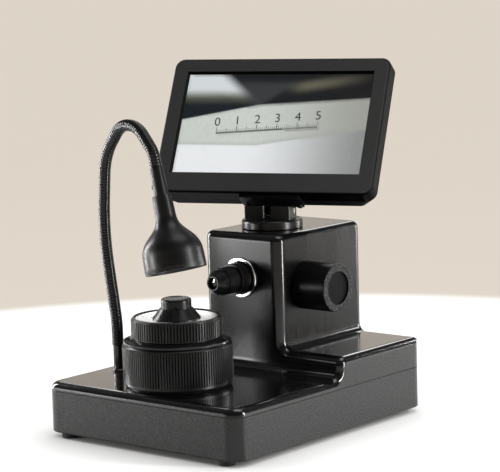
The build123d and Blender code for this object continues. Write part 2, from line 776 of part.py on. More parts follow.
with BuildPart() as front_lens:
    with BuildSketch(Plane.YZ):
        with BuildLine():
            Line((tip + 2.3, objective_height), (tip + 2.8, objective_height + lens_radius - seat_gap))
            Line((tip + 2.8, objective_height + lens_radius - seat_gap),
                 (tip + 5.0, objective_height + lens_radius - seat_gap))
            Line((tip + 5.0, objective_height + lens_radius - seat_gap),
                 (tip + 5.6, objective_height))
            Line((tip + 5.6, objective_height), (tip + 2.3, objective_height))
        make_face()
    revolve(axis=optical_axis)
save(front_lens, "front_lens")

with BuildPart() as focus_barrel:
    revolve(turned_outline([(nose_end, spigot_radius + seat_gap), (nose_end, nose_radius - 0.5),
                            (nose_end + 0.5, nose_radius - 0.5),
                            (nose_end + 0.8, front_barrel_radius - 0.5),
                            (nose_end + 1.3, front_barrel_radius), (nose_end + 2.6, front_barrel_radius),
                            (nose_end + 2.9, front_barrel_radius - 0.35),
                            (nose_end + 3.5, front_barrel_radius - 0.35),
                            (nose_end + 3.8, front_barrel_radius), (front_end, front_barrel_radius),
                            (front_end, collar_ring_radius - 0.3), (front_end + 0.3, collar_ring_radius),
                            (collar_end, collar_ring_radius), (collar_end, spigot_radius + seat_gap)]),
            axis=optical_axis)
save(focus_barrel, "focus_barrel")

rib_count = int((column_front - collar_end - 0.6) / rib_pitch)
with BuildPart() as rear_sleeve:
    revolve(turned_outline([(collar_end, sleeve_bore_radius), (collar_end, sleeve_radius),
                            (sleeve_rear, sleeve_radius), (sleeve_rear, sleeve_bore_radius)]),
            axis=optical_axis)
    with BuildSketch(Plane.YZ):
        with Locations(*[(collar_end + 0.9 + rib_pitch * i, objective_height + sleeve_radius)
                         for i in range(rib_count)]):
            Rectangle(rib_pitch * 0.45, 2 * rib_depth)
    revolve(axis=optical_axis, mode=Mode.SUBTRACT)
save(rear_sleeve, "rear_sleeve")

tube_lens_y = front_end + 3
with BuildPart() as rear_lens:
    revolve(turned_outline([(tube_lens_y, 0), (tube_lens_y + 0.8, sleeve_bore_radius - seat_gap),
                            (tube_lens_y + 2.8, sleeve_bore_radius - seat_gap), (tube_lens_y + 3.6, 0)]),
            axis=optical_axis)
save(rear_lens, "rear_lens")

# ------------------------------------------------------------------ focusing carriage
rack_pitch_height = knob_height + gear_module * pinion_teeth / 2
rack_top = rack_pitch_height + 1.25 * gear_module + rack_back
rack_front = knob_y - rack_length / 2
rod_points = [(sx * guide_rod_x, guide_rod_height) for sx in (-1, 1)]
rod_boss_radius = guide_rod_radius + rod_boss_wall
with BuildPart() as carriage:
    with BuildSketch(Plane.XZ.offset(-sleeve_rear)):
        with Locations((0, objective_height + carriage_rise)):
            RectangleRounded(2 * (guide_rod_x + rod_boss_radius), carriage_height, rod_boss_radius)
    extrude(amount=-carriage_plate)
    with BuildSketch(Plane.XZ.offset(-sleeve_rear)):
        with Locations(*rod_points):
            Circle(rod_boss_radius)
    extrude(amount=-(carriage_plate + rod_boss_length))
    with BuildSketch(Plane.XY.offset(rack_top)):
        with Locations((0, (sleeve_rear + rack_front + rack_length) / 2)):
            Rectangle(rack_width + 4, rack_front + rack_length - sleeve_rear)
    extrude(amount=carriage_arm)
    with BuildSketch(Plane.XZ.offset(-sleeve_rear)):
        with Locations(*rod_points):
            Circle(guide_rod_radius + running_gap)
    extrude(amount=-(carriage_plate + rod_boss_length), mode=Mode.SUBTRACT)
save(carriage, "carriage")

with BuildPart() as sensor_board:
    with BuildSketch(Plane.XZ.offset(-sleeve_rear)):
        with Locations((0, objective_height)):
            Rectangle(sensor_side, sensor_side)
    extrude(amount=board_thickness)
    with BuildSketch(Plane.XZ.offset(-sleeve_rear + board_thickness)):
        with Locations((0, objective_height)):
            Rectangle(7, 6)
    extrude(amount=1.0)
save(sensor_board, "sensor_board")

pitch_radius = gear_module * pinion_teeth / 2
half_tooth = (pi * gear_module / 2 - gear_backlash) / 2
pressure = radians(20)
with BuildPart() as focus_rack:
    with BuildSketch(Plane.YZ):
        with Locations((rack_front + rack_length / 2, rack_top - rack_back / 2)):
            Rectangle(rack_length, rack_back)
        tooth_count = int((rack_length / 2 - gear_module) / (pi * gear_module))
        for i in range(-tooth_count, tooth_count):
            y = knob_y + (i + 0.5) * pi * gear_module
            root = rack_top - rack_back
            flare = (root - rack_pitch_height) * tan(pressure)
            taper = gear_module * tan(pressure)
            with Locations((y, 0)):
                Polygon((-half_tooth - flare, root), (-half_tooth + taper, rack_pitch_height - gear_module),
                        (half_tooth - taper, rack_pitch_height - gear_module),
                        (half_tooth + flare, root), align=None)
    extrude(amount=rack_width / 2, both=True)
save(focus_rack, "focus_rack")

# ------------------------------------------------------------------ focus frame, fixed in the column
inner_front = column_front + column_wall
frame_top = guide_rod_height + frame_head
with BuildPart() as focus_frame:
    with BuildSketch(Plane.XZ.offset(-inner_front)):
        with Locations((0, (frame_floor_height + frame_top) / 2)):
            Rectangle(2 * frame_half_width, frame_top - frame_floor_height)
        with Locations((0, objective_height)):
            Circle(escutcheon_bore_radius, mode=Mode.SUBTRACT)
    extrude(amount=-frame_plate)
    with BuildSketch(Plane.XZ.offset(-frame_rear)):
        with Locations((0, (frame_floor_height + frame_top) / 2)):
            Rectangle(2 * frame_half_width, frame_top - frame_floor_height)
    extrude(amount=frame_plate)
    with BuildSketch(Plane.XY.offset(frame_floor_height)):
        with Locations((0, (inner_front + frame_rear) / 2)):
            Rectangle(2 * frame_half_width, frame_rear - inner_front)
    extrude(amount=frame_plate)
    # inner bearing of the focus shaft
    with BuildSketch(Plane.YZ.offset(-bearing_x)):
        with Locations((knob_y, (frame_floor_height + knob_height) / 2)):
            Rectangle(2 * bearing_radius + 4, knob_height - frame_floor_height)
        with Locations((knob_y, knob_height)):
            Circle(bearing_radius)
        with Locations((knob_y, knob_height)):
            Circle(focus_shaft_radius + running_gap, mode=Mode.SUBTRACT)
    extrude(amount=4)
    with BuildSketch(Plane.XZ.offset(-inner_front)):
        with Locations(*rod_points):
            Circle(guide_rod_radius + seat_gap)
    extrude(amount=-frame_rear, mode=Mode.SUBTRACT)
    with BuildSketch(Plane.XZ.offset(-inner_front)):
        with Locations(*frame_screw_points):
            Circle(case_screw_radius + seat_gap)
    extrude(amount=-frame_plate - 1, mode=Mode.SUBTRACT)
save(focus_frame, "focus_frame")

with BuildPart() as frame_screws:
    with BuildSketch(Plane.XZ.offset(-inner_front - frame_plate)):
        with Locations(*frame_screw_points):
            Circle(case_screw_head_radius)
    extrude(amount=-case_screw_head_height)
    with BuildSketch(Plane.XZ.offset(-inner_front - frame_plate)):
        with Locations(*frame_screw_points):
            Circle(case_screw_radius - seat_gap)
    extrude(amount=frame_plate + frame_screw_bite)
save(frame_screws, "frame_screws")

with BuildPart() as guide_rods:
    with BuildSketch(Plane.XZ.offset(-inner_front)):
        with Locations(*rod_points):
            Circle(guide_rod_radius)
    extrude(amount=-(frame_rear - inner_front))
save(guide_rods, "guide_rods")

# ------------------------------------------------------------------ focus drive
with BuildPart() as shaft_bush:
    with BuildSketch(knob_axis):
        ring_sketch(bush_radius, focus_shaft_radius + running_gap)
    extrude(amount=-column_wall)
    with BuildSketch(knob_axis.offset(-column_wall)):
        ring_sketch(bush_flange_radius, focus_shaft_radius + running_gap)
    extrude(amount=-bush_flange_thickness)
save(shaft_bush, "shaft_bush")

knob_inner = slip_gap
knob_outer = knob_inner + knob_length
with BuildPart() as focus_knob:
    with BuildSketch(knob_axis.offset(knob_inner)):
        Circle(knob_radius)
    extrude(amount=knob_length)
    fillet(focus_knob.edges().group_by(Axis.X)[-1], 0.8)
    fillet(focus_knob.edges().group_by(Axis.X)[0], 1.2)
    with BuildSketch(knob_axis.offset(knob_outer)):
        Circle(knob_radius - knob_rim)
    extrude(amount=-(knob_recess + knob_cap_thickness), mode=Mode.SUBTRACT)
    # moulded hollow round the hub, open towards the column
    with BuildSketch(knob_axis.offset(knob_inner)):
        ring_sketch(knob_radius - 3.0, focus_shaft_radius + 4.0)
    extrude(amount=knob_length - 10, mode=Mode.SUBTRACT)
    with BuildSketch(knob_axis.offset(knob_inner)):
        Circle(focus_shaft_radius + seat_gap)
    extrude(amount=knob_length - 8, mode=Mode.SUBTRACT)
save(focus_knob, "focus_knob")

with BuildPart() as knob_cap:
    with BuildSketch(knob_axis.offset(knob_outer - knob_recess)):
        Circle(knob_radius - knob_rim - seat_gap)
    extrude(amount=-knob_cap_thickness)
    fillet(knob_cap.edges().group_by(Axis.X)[-1], 0.4)
save(knob_cap, "knob_cap")

shaft_inner = -column_side - bearing_x - 1.0
with BuildPart() as focus_shaft:
    with BuildSketch(knob_axis.offset(shaft_inner)):
        Circle(focus_shaft_radius)
    extrude(amount=knob_length - 8.4 + knob_inner - shaft_inner)
save(focus_shaft, "focus_shaft")


def involute(angle):
    """Involute function, used for a gear tooth's flank."""
    return tan(angle) - angle


base_radius = pitch_radius * cos(pressure)
root_radius = pitch_radius - 1.25 * gear_module
tip_radius = pitch_radius + gear_module
with BuildPart() as focus_pinion:
    with BuildSketch(Plane.YZ.offset(-pinion_width / 2)):
        with Locations((knob_y, knob_height)):
            Circle(root_radius + 0.02)
        half_at_pitch = half_tooth / pitch_radius
        flank_radii = (base_radius, (base_radius + tip_radius) / 2, tip_radius)
        flank = [(r, half_at_pitch + involute(pressure) - involute(acos(base_radius / r)))
                 for r in flank_radii]
        flank = [(root_radius - 0.2, flank[0][1])] + flank
        right_side = [(r * cos(a), -r * sin(a)) for r, a in flank]
        left_side = [(r * cos(a), r * sin(a)) for r, a in reversed(flank)]
        with Locations((knob_y, knob_height)):
            with PolarLocations(0, pinion_teeth, start_angle=90):
                Polygon(*(right_side + left_side), align=None)
        with Locations((knob_y, knob_height)):
            Circle(focus_shaft_radius + seat_gap / 2, mode=Mode.SUBTRACT)
    extrude(amount=pinion_width)
save(focus_pinion, "focus_pinion")

with BuildPart() as shaft_clip:
    with BuildSketch(knob_axis.offset(-column_wall - bush_flange_thickness - slip_gap)):
        ring_sketch(focus_shaft_radius + 2.5, focus_shaft_radius + seat_gap / 2)
    extrude(amount=-1.2)
save(shaft_clip, "shaft_clip")

# ------------------------------------------------------------------ screen mounting
swivel_axis = (0, swivel_y)
yaw = radians(screen_yaw)
tilt = radians(screen_tilt)
screen_right = Vector(cos(yaw), sin(yaw), 0)
screen_back = Vector(-sin(yaw), cos(yaw), 0)
screen_normal = Vector(sin(yaw) * cos(tilt), -cos(yaw) * cos(tilt), sin(tilt))
screen_up = screen_normal.cross(screen_right)
tilt_pin = Vector(0, swivel_y, tilt_pin_height)
collar_top = column_height + swivel_collar_height
post_bottom = collar_top + slip_gap
post_plane = Plane(origin=(0, swivel_y, 0), x_dir=screen_back, z_dir=screen_right)

with BuildPart() as swivel_collar:
    with BuildSketch(Plane.XY.offset(column_height)):
        with Locations(swivel_axis):
            ring_sketch(swivel_collar_radius, swivel_stem_radius + running_gap)
    extrude(amount=swivel_collar_height)
    fillet(swivel_collar.edges().group_by(Axis.Z)[-1].sort_by(SortBy.RADIUS)[-1], 1.8)
    chamfer(swivel_collar.edges().group_by(Axis.Z)[0].sort_by(SortBy.RADIUS)[-1], 0.6)
    with BuildSketch(Plane.XY.offset(collar_top)):
        with Locations(swivel_axis):
            ring_sketch(swivel_collar_radius - 2.6, swivel_collar_radius - 3.4)
    extrude(amount=-0.5, mode=Mode.SUBTRACT)
save(swivel_collar, "swivel_collar")

post_top = tilt_pin_height + post_top_radius
with BuildPart() as swivel_post:
    with BuildSketch(post_plane):
        with BuildLine():
            Polyline((0, post_top), (-post_front, post_top), (-post_front, post_bottom),
                     (post_top_radius, post_bottom), (post_top_radius, tilt_pin_height))
            RadiusArc((post_top_radius, tilt_pin_height), (0, post_top), -post_top_radius)
        make_face()
    extrude(amount=post_width / 2, both=True)
    chamfer(swivel_post.edges().filter_by(Axis.Z), 0.8)
    # slot for the screen's tongue, open in front, behind and above
    with BuildSketch(post_plane):
        with Locations((0, post_top)):
            Rectangle(4 * post_front, 2 * (post_top - tilt_pin_height + tongue_radius + slip_gap))
    extrude(amount=tongue_thickness / 2 + slip_gap, both=True, mode=Mode.SUBTRACT)
    # its front runs on down the post, with bevelled edges
    slot_half = tongue_thickness / 2 + slip_gap
    with BuildSketch(Plane(origin=(0, swivel_y, post_bottom + 0.8), x_dir=screen_right, z_dir=(0, 0, 1))):
        with BuildLine():
            slot_side = Polyline((slot_half + post_slot_chamfer, -post_front),
                                 (slot_half, post_slot_chamfer - post_front),
                                 (slot_half, post_slot_depth - post_front), (0, post_slot_depth - post_front))
            mirror(slot_side, about=Plane.YZ)
            Line((-slot_half - post_slot_chamfer, -post_front), (slot_half + post_slot_chamfer, -post_front))
        make_face()
    extrude(amount=post_top - post_bottom, mode=Mode.SUBTRACT)
    with BuildSketch(post_plane):
        with Locations((0, tilt_pin_height)):
            Circle(tilt_pin_radius + running_gap)
    extrude(amount=post_width, both=True, mode=Mode.SUBTRACT)
    with BuildSketch(Plane.XY.offset(post_bottom)):
        with Locations(swivel_axis):
            Circle(swivel_stem_radius)
    extrude(amount=-swivel_stem_length)
save(swivel_post, "swivel_post")

nut_top = column_height - column_wall - slip_gap
with BuildPart() as swivel_washer:
    with BuildSketch(Plane.XY.offset(nut_top)):
        with Locations(swivel_axis):
            ring_sketch(swivel_stem_radius * 2, swivel_stem_radius + seat_gap)
    extrude(amount=-washer_thickness)
save(swivel_washer, "swivel_washer")

with BuildPart() as swivel_nut:
    with BuildSketch(Plane.XY.offset(nut_top - washer_thickness)):
        with Locations(swivel_axis):
            RegularPolygon(swivel_stem_radius * 1.6, 6)
            Circle(swivel_stem_radius + seat_gap, mode=Mode.SUBTRACT)
    extrude(amount=-swivel_nut_height)
save(swivel_nut, "swivel_nut")

with BuildPart() as tilt_pin_rod:
    with BuildSketch(post_plane):
        with Locations((0, tilt_pin_height)):
            Circle(tilt_pin_radius)
    extrude(amount=post_width / 2 - 0.4, both=True)
save(tilt_pin_rod, "tilt_pin")

# ------------------------------------------------------------------ screen
case_width = display_width + 2 * bezel_side
case_height = display_height + bezel_top + bezel_bottom
case_lift = (bezel_top - bezel_bottom) / 2
display_centre = (tilt_pin + screen_normal * screen_front_ahead_of_pin
                  + screen_up * (screen_bottom_above_pin + bezel_bottom + display_height / 2)
                  + screen_right * screen_side_offset)
screen_face = Plane(origin=display_centre, x_dir=screen_right, z_dir=screen_normal)
with BuildPart() as front_bezel:
    with BuildSketch(screen_face):
        with Locations((0, case_lift)):
            RectangleRounded(case_width, case_height, screen_corner_radius)
    extrude(amount=-bezel_depth)
    fillet(front_bezel.faces().sort_by(Axis(display_centre, screen_normal))[-1].edges(), bezel_rounding)
    with BuildSketch(screen_face.offset(-bezel_skin - display_sink)):
        with Locations((0, case_lift)):
            RectangleRounded(case_width - 2 * screen_wall, case_height - 2 * screen_wall,
                             screen_corner_radius - screen_wall)
    extrude(amount=-bezel_depth, mode=Mode.SUBTRACT)
    with BuildSketch(screen_face):
        Rectangle(display_width + 2 * display_sink, display_height + 2 * display_sink)
    with BuildSketch(screen_face.offset(-display_sink - bezel_skin)):
        Rectangle(display_width, display_height)
    loft(mode=Mode.SUBTRACT)
save(front_bezel, "front_bezel")

panel_front = -display_sink - bezel_skin
with BuildPart() as screen_glass:
    with BuildSketch(screen_face.offset(panel_front)):
        Rectangle(display_width + panel_margin, display_height + panel_margin)
    extrude(amount=-glass_thickness)
save(screen_glass, "screen_glass")

with BuildPart() as lcd_panel:
    with BuildSketch(screen_face.offset(panel_front - glass_thickness)):
        Rectangle(display_width + 2 * panel_margin, display_height + 2 * panel_margin)
    extrude(amount=-panel_thickness)
save(lcd_panel, "lcd_panel")

shell_depth = screen_depth - bezel_depth
back_width = case_width - 2 * shell_side_taper
back_height = case_height - shell_side_taper
back_lift = case_lift - shell_side_taper / 2
shell_front = screen_face.offset(-bezel_depth)
case_bottom = case_lift - case_height / 2
bracket_plane = Plane(origin=display_centre + screen_up * case_bottom - screen_right * screen_side_offset
                      - screen_normal * screen_front_ahead_of_pin,
                      x_dir=screen_right, z_dir=-screen_up)
with BuildPart() as back_shell:
    with BuildSketch(shell_front):
        with Locations((0, case_lift)):
            RectangleRounded(case_width, case_height, screen_corner_radius)
    with BuildSketch(shell_front.offset(-shell_depth)):
        with Locations((0, back_lift)):
            RectangleRounded(back_width, back_height, screen_corner_radius)
    loft()
    fillet(back_shell.faces().sort_by(Axis(display_centre, screen_normal))[0].edges(), 2.0)
    with BuildSketch(shell_front):
        with Locations((0, case_lift)):
            RectangleRounded(case_width - 2 * screen_wall, case_height - 2 * screen_wall,
                             screen_corner_radius - screen_wall)
    with BuildSketch(shell_front.offset(-shell_depth + screen_wall)):
        with Locations((0, back_lift)):
            RectangleRounded(back_width - 2 * screen_wall, back_height - 2 * screen_wall,
                             screen_corner_radius - screen_wall)
    loft(mode=Mode.SUBTRACT)
    # pillars that take the case screws, and cooling slots high on the back
    with BuildSketch(shell_front):
        with Locations(*screen_screw_points):
            Circle(screen_pillar_radius)
    extrude(amount=-(shell_depth - screen_wall))
    with BuildSketch(shell_front.offset(-driver_board_back)):
        with Locations(*driver_board_points):
            Circle(driver_post_radius)
    extrude(amount=-(shell_depth - screen_wall - driver_board_back))
    with BuildSketch(shell_front):
        with Locations(*screen_screw_points):
            Circle(screen_screw_radius + seat_gap)
    extrude(amount=-shell_depth, mode=Mode.SUBTRACT)
    with BuildSketch(shell_front.offset(-shell_depth)):
        with Locations(*screen_screw_points):
            Circle(screen_screw_radius * 2 + seat_gap)
        with GridLocations(vent_pitch, 0, vent_slots, 1):
            with Locations((0, vent_rise)):
                SlotOverall(vent_length, vent_width, rotation=90)
    extrude(amount=screen_wall + 0.2, mode=Mode.SUBTRACT)
    with BuildSketch(bracket_plane):
        with Locations(*bracket_screw_points):
            Circle(screen_screw_radius)
    extrude(amount=-screen_wall - 1, mode=Mode.SUBTRACT)
save(back_shell, "back_shell")

with BuildPart() as screen_screws:
    with BuildSketch(shell_front.offset(-shell_depth + 0.4)):
        with Locations(*screen_screw_points):
            Circle(screen_screw_radius * 2)
    extrude(amount=screen_wall - 0.2)
    with BuildSketch(shell_front.offset(-shell_depth + screen_wall)):
        with Locations(*screen_screw_points):
            Circle(screen_screw_radius)
    extrude(amount=shell_depth - screen_wall)
save(screen_screws, "screen_screws")

with BuildPart() as driver_board:
    with BuildSketch(shell_front.offset(-driver_board_back)):
        Rectangle(driver_board_width, driver_board_height)
    extrude(amount=board_thickness)
    with BuildSketch(shell_front.offset(-driver_board_back)):
        with Locations((10, 4)):
            Rectangle(14, 14)
        with Locations((-24, -12), (-24, 8)):
            Rectangle(8, 10)
    extrude(amount=-1.2)
save(driver_board, "driver_board")

with BuildPart() as tilt_bracket:
    with BuildSketch(bracket_plane):
        with Locations((0, bracket_depth / 2 - bracket_overhang)):
            RectangleRounded(bracket_width, bracket_depth, 1.5)
        with Locations(*bracket_screw_points):
            Circle(screen_screw_radius + seat_gap, mode=Mode.SUBTRACT)
    extrude(amount=bracket_thickness)
    tongue_plane = Plane(origin=tilt_pin, x_dir=screen_normal, z_dir=screen_right)
    with BuildSketch(tongue_plane):
        Circle(tongue_radius)
        with Locations((0, -screen_bottom_above_pin / 2)):
            Rectangle(2 * tongue_radius, screen_bottom_above_pin - bracket_thickness + 2)
    extrude(amount=tongue_thickness / 2, both=True)
    with BuildSketch(tongue_plane):
        Circle(tilt_pin_radius + running_gap)
    extrude(amount=tongue_thickness, both=True, mode=Mode.SUBTRACT)
save(tilt_bracket, "tilt_bracket")

with BuildPart() as bracket_screws:
    with BuildSketch(bracket_plane.offset(bracket_thickness)):
        with Locations(*bracket_screw_points):
            Circle(screen_screw_radius * 1.7)
    extrude(amount=1.2)
    with BuildSketch(bracket_plane.offset(bracket_thickness)):
        with Locations(*bracket_screw_points):
            Circle(screen_screw_radius - seat_gap)
    extrude(amount=-(bracket_thickness + screen_wall))
save(bracket_screws, "bracket_screws")

# ------------------------------------------------------------------ lamp arm
arm_top = deck_height + arm_stem_height
with BuildPart() as arm_stem:
    with BuildSketch(Plane.XY.offset(deck_height - arm_thread_length)):
        with Locations((arm_x, arm_y)):
            Circle(arm_stem_radius)
    extrude(amount=arm_thread_length + arm_stem_height)
    chamfer(arm_stem.edges().group_by(Axis.Z)[-1], 0.5)
    with BuildSketch(Plane.XY.offset(deck_height + slip_gap)):
        with Locations((arm_x, arm_y)):
            Circle(arm_flange_radius)
    extrude(amount=1.4)
    chamfer(arm_stem.edges().filter_by(GeomType.CIRCLE).sort_by(SortBy.RADIUS)[-1], 0.5)
save(arm_stem, "arm_stem")

with BuildPart() as arm_nut:
    with BuildSketch(Plane.XY.offset(deck_height - wall - slip_gap)):
        with Locations((arm_x, arm_y)):
            RegularPolygon(arm_stem_radius * 1.8, 6)
            Circle(arm_stem_radius + seat_gap, mode=Mode.SUBTRACT)
    extrude(amount=-arm_nut_height)
save(arm_nut, "arm_nut")

# the arm lies in the upright plane through its stem and the stage axis
arm_reach = Vector(-arm_x, stage_y - arm_y, 0)
arm_direction = arm_reach.normalized()
arm_plane = Plane(origin=(arm_x, arm_y, 0), x_dir=arm_direction, z_dir=arm_direction.cross(Vector(0, 0, 1)))
lean = radians(lamp_axis_lean)
arm_route = [(0, arm_top), (0, arm_top + neck_straight), (-bow_out, gooseneck_end_height - bow_drop),
             (-shoulder_out, gooseneck_end_height + shoulder_rise),
             (gooseneck_reach - crown_start, gooseneck_end_height + crown_rise),
             (gooseneck_reach - crown_end, gooseneck_end_height + crown_rise),
             (gooseneck_reach - neck_run_in * sin(lean), gooseneck_end_height + neck_run_in * cos(lean)),
             (gooseneck_reach, gooseneck_end_height)]


def bend_radii(route):
    """Radius of the arc at each inner corner, as large as its shorter run allows."""
    corners = [Vector(*point) for point in route]
    radii = []
    for before, corner, after in zip(corners, corners[1:], corners[2:]):
        half_turn = radians((corner - before).get_angle(after - corner)) / 2
        shorter_run = min((corner - before).length, (after - corner).length)
        radii.append(bend_share * shorter_run / tan(half_turn))
    return radii


with BuildPart() as gooseneck:
    with BuildLine(arm_plane) as arm_line:
        FilletPolyline(*arm_route, radius=bend_radii(arm_route))
    arm_wire = arm_line.wires()[0]
    with BuildSketch(Plane(origin=arm_wire @ 0, z_dir=arm_wire % 0)):
        Circle(gooseneck_radius)
    sweep(path=arm_wire)
save(gooseneck, "gooseneck")

# ------------------------------------------------------------------ lamp, on its own leaning axis
lamp_top = Vector(arm_x, arm_y, 0) + arm_direction * gooseneck_reach + Vector(0, 0, gooseneck_end_height)
lamp_direction = arm_direction * sin(lean) - Vector(0, 0, cos(lean))
lamp_axis = Axis(lamp_top, lamp_direction)
lamp_plane = Plane(origin=lamp_top, x_dir=lamp_direction, z_dir=arm_plane.z_dir)


# a push switch on the ferrule's outer side
switch_plane = Plane(origin=lamp_top + lamp_direction * switch_place, x_dir=lamp_direction,
                     z_dir=-(arm_direction * cos(lean) + Vector(0, 0, 1) * sin(lean)))
ferrule_at_switch = (lamp_top_radius
                     + (ferrule_end_radius - lamp_top_radius) * switch_place / ferrule_length)


def lamp_ring(inner, outer, start, length):
    """Outline of a ring that sits a given distance down the lamp's axis."""
    with BuildSketch(lamp_plane) as outline:
        with Locations((start + length / 2, (inner + outer) / 2)):
            Rectangle(length, outer - inner)
    return outline.sketch


bell_start = ferrule_length
bell_end = bell_start + bell_length
with BuildPart() as lamp_ferrule:
    with BuildSketch(lamp_plane):
        with BuildLine():
            Polyline((0.1, 0), (0.1, lamp_top_radius), (bell_start, ferrule_end_radius),
                     (bell_start + ferrule_spigot, ferrule_end_radius), (bell_start + ferrule_spigot, 0),
                     close=True)
        make_face()
    revolve(axis=lamp_axis)
    with BuildSketch(switch_plane.offset(ferrule_at_switch - switch_depth)):
        Circle(switch_radius + seat_gap)
    extrude(amount=2 * switch_depth, mode=Mode.SUBTRACT)
save(lamp_ferrule, "lamp_ferrule")

with BuildPart() as lamp_switch:
    with BuildSketch(switch_plane.offset(ferrule_at_switch - switch_depth)):
        Circle(switch_radius)
    extrude(amount=switch_depth + switch_proud)
    fillet(lamp_switch.edges().sort_by(Axis(lamp_top, switch_plane.z_dir))[-1], 1.0)
save(lamp_switch, "lamp_switch")

# swept-out shoulder: a hollow curve off the neck, then a full curve into the drum
neck_end = bell_start + bell_neck_length
shoulder_start = neck_end + bell_flare_length
drum_start = shoulder_start + bell_shoulder_length
throat_end = bell_start + ferrule_spigot + 2.0
shoulder_radius = (bell_neck_radius + bell_radius) / 2 - 0.6
with BuildPart() as lamp_bell:
    with BuildSketch(lamp_plane):
        with BuildLine():
            neck = Line((bell_start, bell_neck_radius), (neck_end, bell_neck_radius + 0.5))
            flare = Spline(neck @ 1, (shoulder_start, shoulder_radius), (drum_start, bell_radius - 0.5),
                           tangents=[neck % 1, (1, 0.09)])
            drum = Line(flare @ 1, (bell_end - 3, bell_radius))
            mouth = Line(drum @ 1, (bell_end, bell_radius - 0.3))
            mouth_face = Line(mouth @ 1, (bell_end, bell_radius - bell_wall))
            bore = Line(mouth_face @ 1, (drum_start + 2, bell_radius - bell_wall))
            shelf = Line(bore @ 1, (drum_start + 2, 8))
            core = Line(shelf @ 1, (throat_end, ferrule_end_radius - 0.6))
            Polyline(core @ 1, (throat_end, ferrule_end_radius + seat_gap),
                     (bell_start, ferrule_end_radius + seat_gap), neck @ 0)
        make_face()
    revolve(axis=lamp_axis)
    for groove_inset in groove_insets:
        revolve(lamp_ring(bell_radius - 0.5, bell_radius + 1, bell_end - groove_inset, groove_width),
                axis=lamp_axis, mode=Mode.SUBTRACT)
save(lamp_bell, "lamp_bell")

inner_radius = bell_radius - bell_wall - seat_gap
with BuildPart() as led_board:
    revolve(lamp_ring(0, inner_radius, drum_start + 2, board_thickness), axis=lamp_axis)
    led_face = Plane(origin=lamp_top + lamp_direction * (drum_start + 2 + board_thickness),
                     x_dir=arm_plane.z_dir, z_dir=lamp_direction)
    with BuildSketch(led_face):
        with PolarLocations(led_ring_radius, 8):
            Rectangle(led_side, led_side)
        Rectangle(led_side, led_side)
    extrude(amount=0.9)
save(led_board, "led_board")

with BuildPart() as lamp_lens:
    revolve(lamp_ring(0, inner_radius, bell_end - lens_sink - lens_thickness, lens_thickness), axis=lamp_axis)
save(lamp_lens, "lamp_lens")

with BuildPart() as lens_ring:
    revolve(lamp_ring(inner_radius - 1.6, inner_radius, bell_end - lens_sink, lens_sink - 0.4),
            axis=lamp_axis)
save(lens_ring, "lens_ring")
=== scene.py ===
# %% [markdown]
# # A desktop screen microscope
# The object is a small microscope that lies on its side: the objective looks along the desk at a
# specimen on a turning stage, a flat screen shows the picture, and a lamp on a gooseneck lights it.
# The solids come from the CAD frame and stay where they are. What is made here is everything that
# a solid can't say: finishes, the ribbed skin of the gooseneck, the picture on the screen, and light.

# %% Load the frame
from math import cos, pi, radians, sin, sqrt, tan

import bpy
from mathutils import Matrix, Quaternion, Vector


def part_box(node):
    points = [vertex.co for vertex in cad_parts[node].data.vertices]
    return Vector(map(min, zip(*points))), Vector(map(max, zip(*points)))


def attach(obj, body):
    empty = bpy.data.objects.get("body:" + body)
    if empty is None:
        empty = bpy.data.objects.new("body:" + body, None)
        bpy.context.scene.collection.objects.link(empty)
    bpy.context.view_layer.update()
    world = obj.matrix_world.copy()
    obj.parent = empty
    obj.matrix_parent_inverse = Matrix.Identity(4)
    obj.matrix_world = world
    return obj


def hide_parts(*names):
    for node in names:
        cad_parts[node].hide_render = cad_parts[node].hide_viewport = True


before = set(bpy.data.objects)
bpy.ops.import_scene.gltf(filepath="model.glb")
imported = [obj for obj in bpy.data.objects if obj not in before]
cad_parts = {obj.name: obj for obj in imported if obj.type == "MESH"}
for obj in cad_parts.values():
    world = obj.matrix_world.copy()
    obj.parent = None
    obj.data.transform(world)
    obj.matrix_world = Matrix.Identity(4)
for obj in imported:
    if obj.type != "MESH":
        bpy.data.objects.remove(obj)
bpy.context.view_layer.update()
scene = bpy.context.scene

# %% [markdown]
# ## The camera
# A long lens from a low three-quarter view keeps the base's edges nearly parallel. The camera stands
# on a sphere round a point in the middle of the microscope, so two angles and a distance place it.
# The small roll is the tilt of a camera held by hand.

# %% Camera
VIEW_AZIMUTH = radians(39.92)
VIEW_ELEVATION = radians(8.005)
VIEW_ROLL = radians(-1.653)
VIEW_DISTANCE = 1.6339
LENS_MM = 154.6
SENSOR_MM = 36
AIM_HEIGHT = 0.120
AIM_RIGHT = 0.012963
AIM_UP = 0.024511

towards_camera = Vector((sin(VIEW_AZIMUTH) * cos(VIEW_ELEVATION), -cos(VIEW_AZIMUTH) * cos(VIEW_ELEVATION),
                         sin(VIEW_ELEVATION)))
camera_right = Vector((0, 0, 1)).cross(towards_camera).normalized()
camera_up = towards_camera.cross(camera_right)
aim = Vector((0, 0, AIM_HEIGHT)) + AIM_RIGHT * camera_right + AIM_UP * camera_up

camera = bpy.data.objects.new("camera", bpy.data.cameras.new("camera"))
scene.collection.objects.link(camera)
camera.data.sensor_width = SENSOR_MM
camera.data.lens = LENS_MM
camera.location = aim + VIEW_DISTANCE * towards_camera
camera.rotation_mode = "QUATERNION"
level_view = (-towards_camera).to_track_quat("-Z", "Y")
camera.rotation_quaternion = Quaternion(towards_camera, VIEW_ROLL) @ level_view
scene.camera = camera
print("camera at", [round(v, 3) for v in camera.location])

# %% [markdown]
# ## Short names for shader nodes
# Every finish is a small network of nodes. The helpers below each add one node and hand back its
# output, so a material reads like a sum: noise goes into a ramp, the ramp goes into a mix.
# A helper takes a plain number or another node's output for each input.

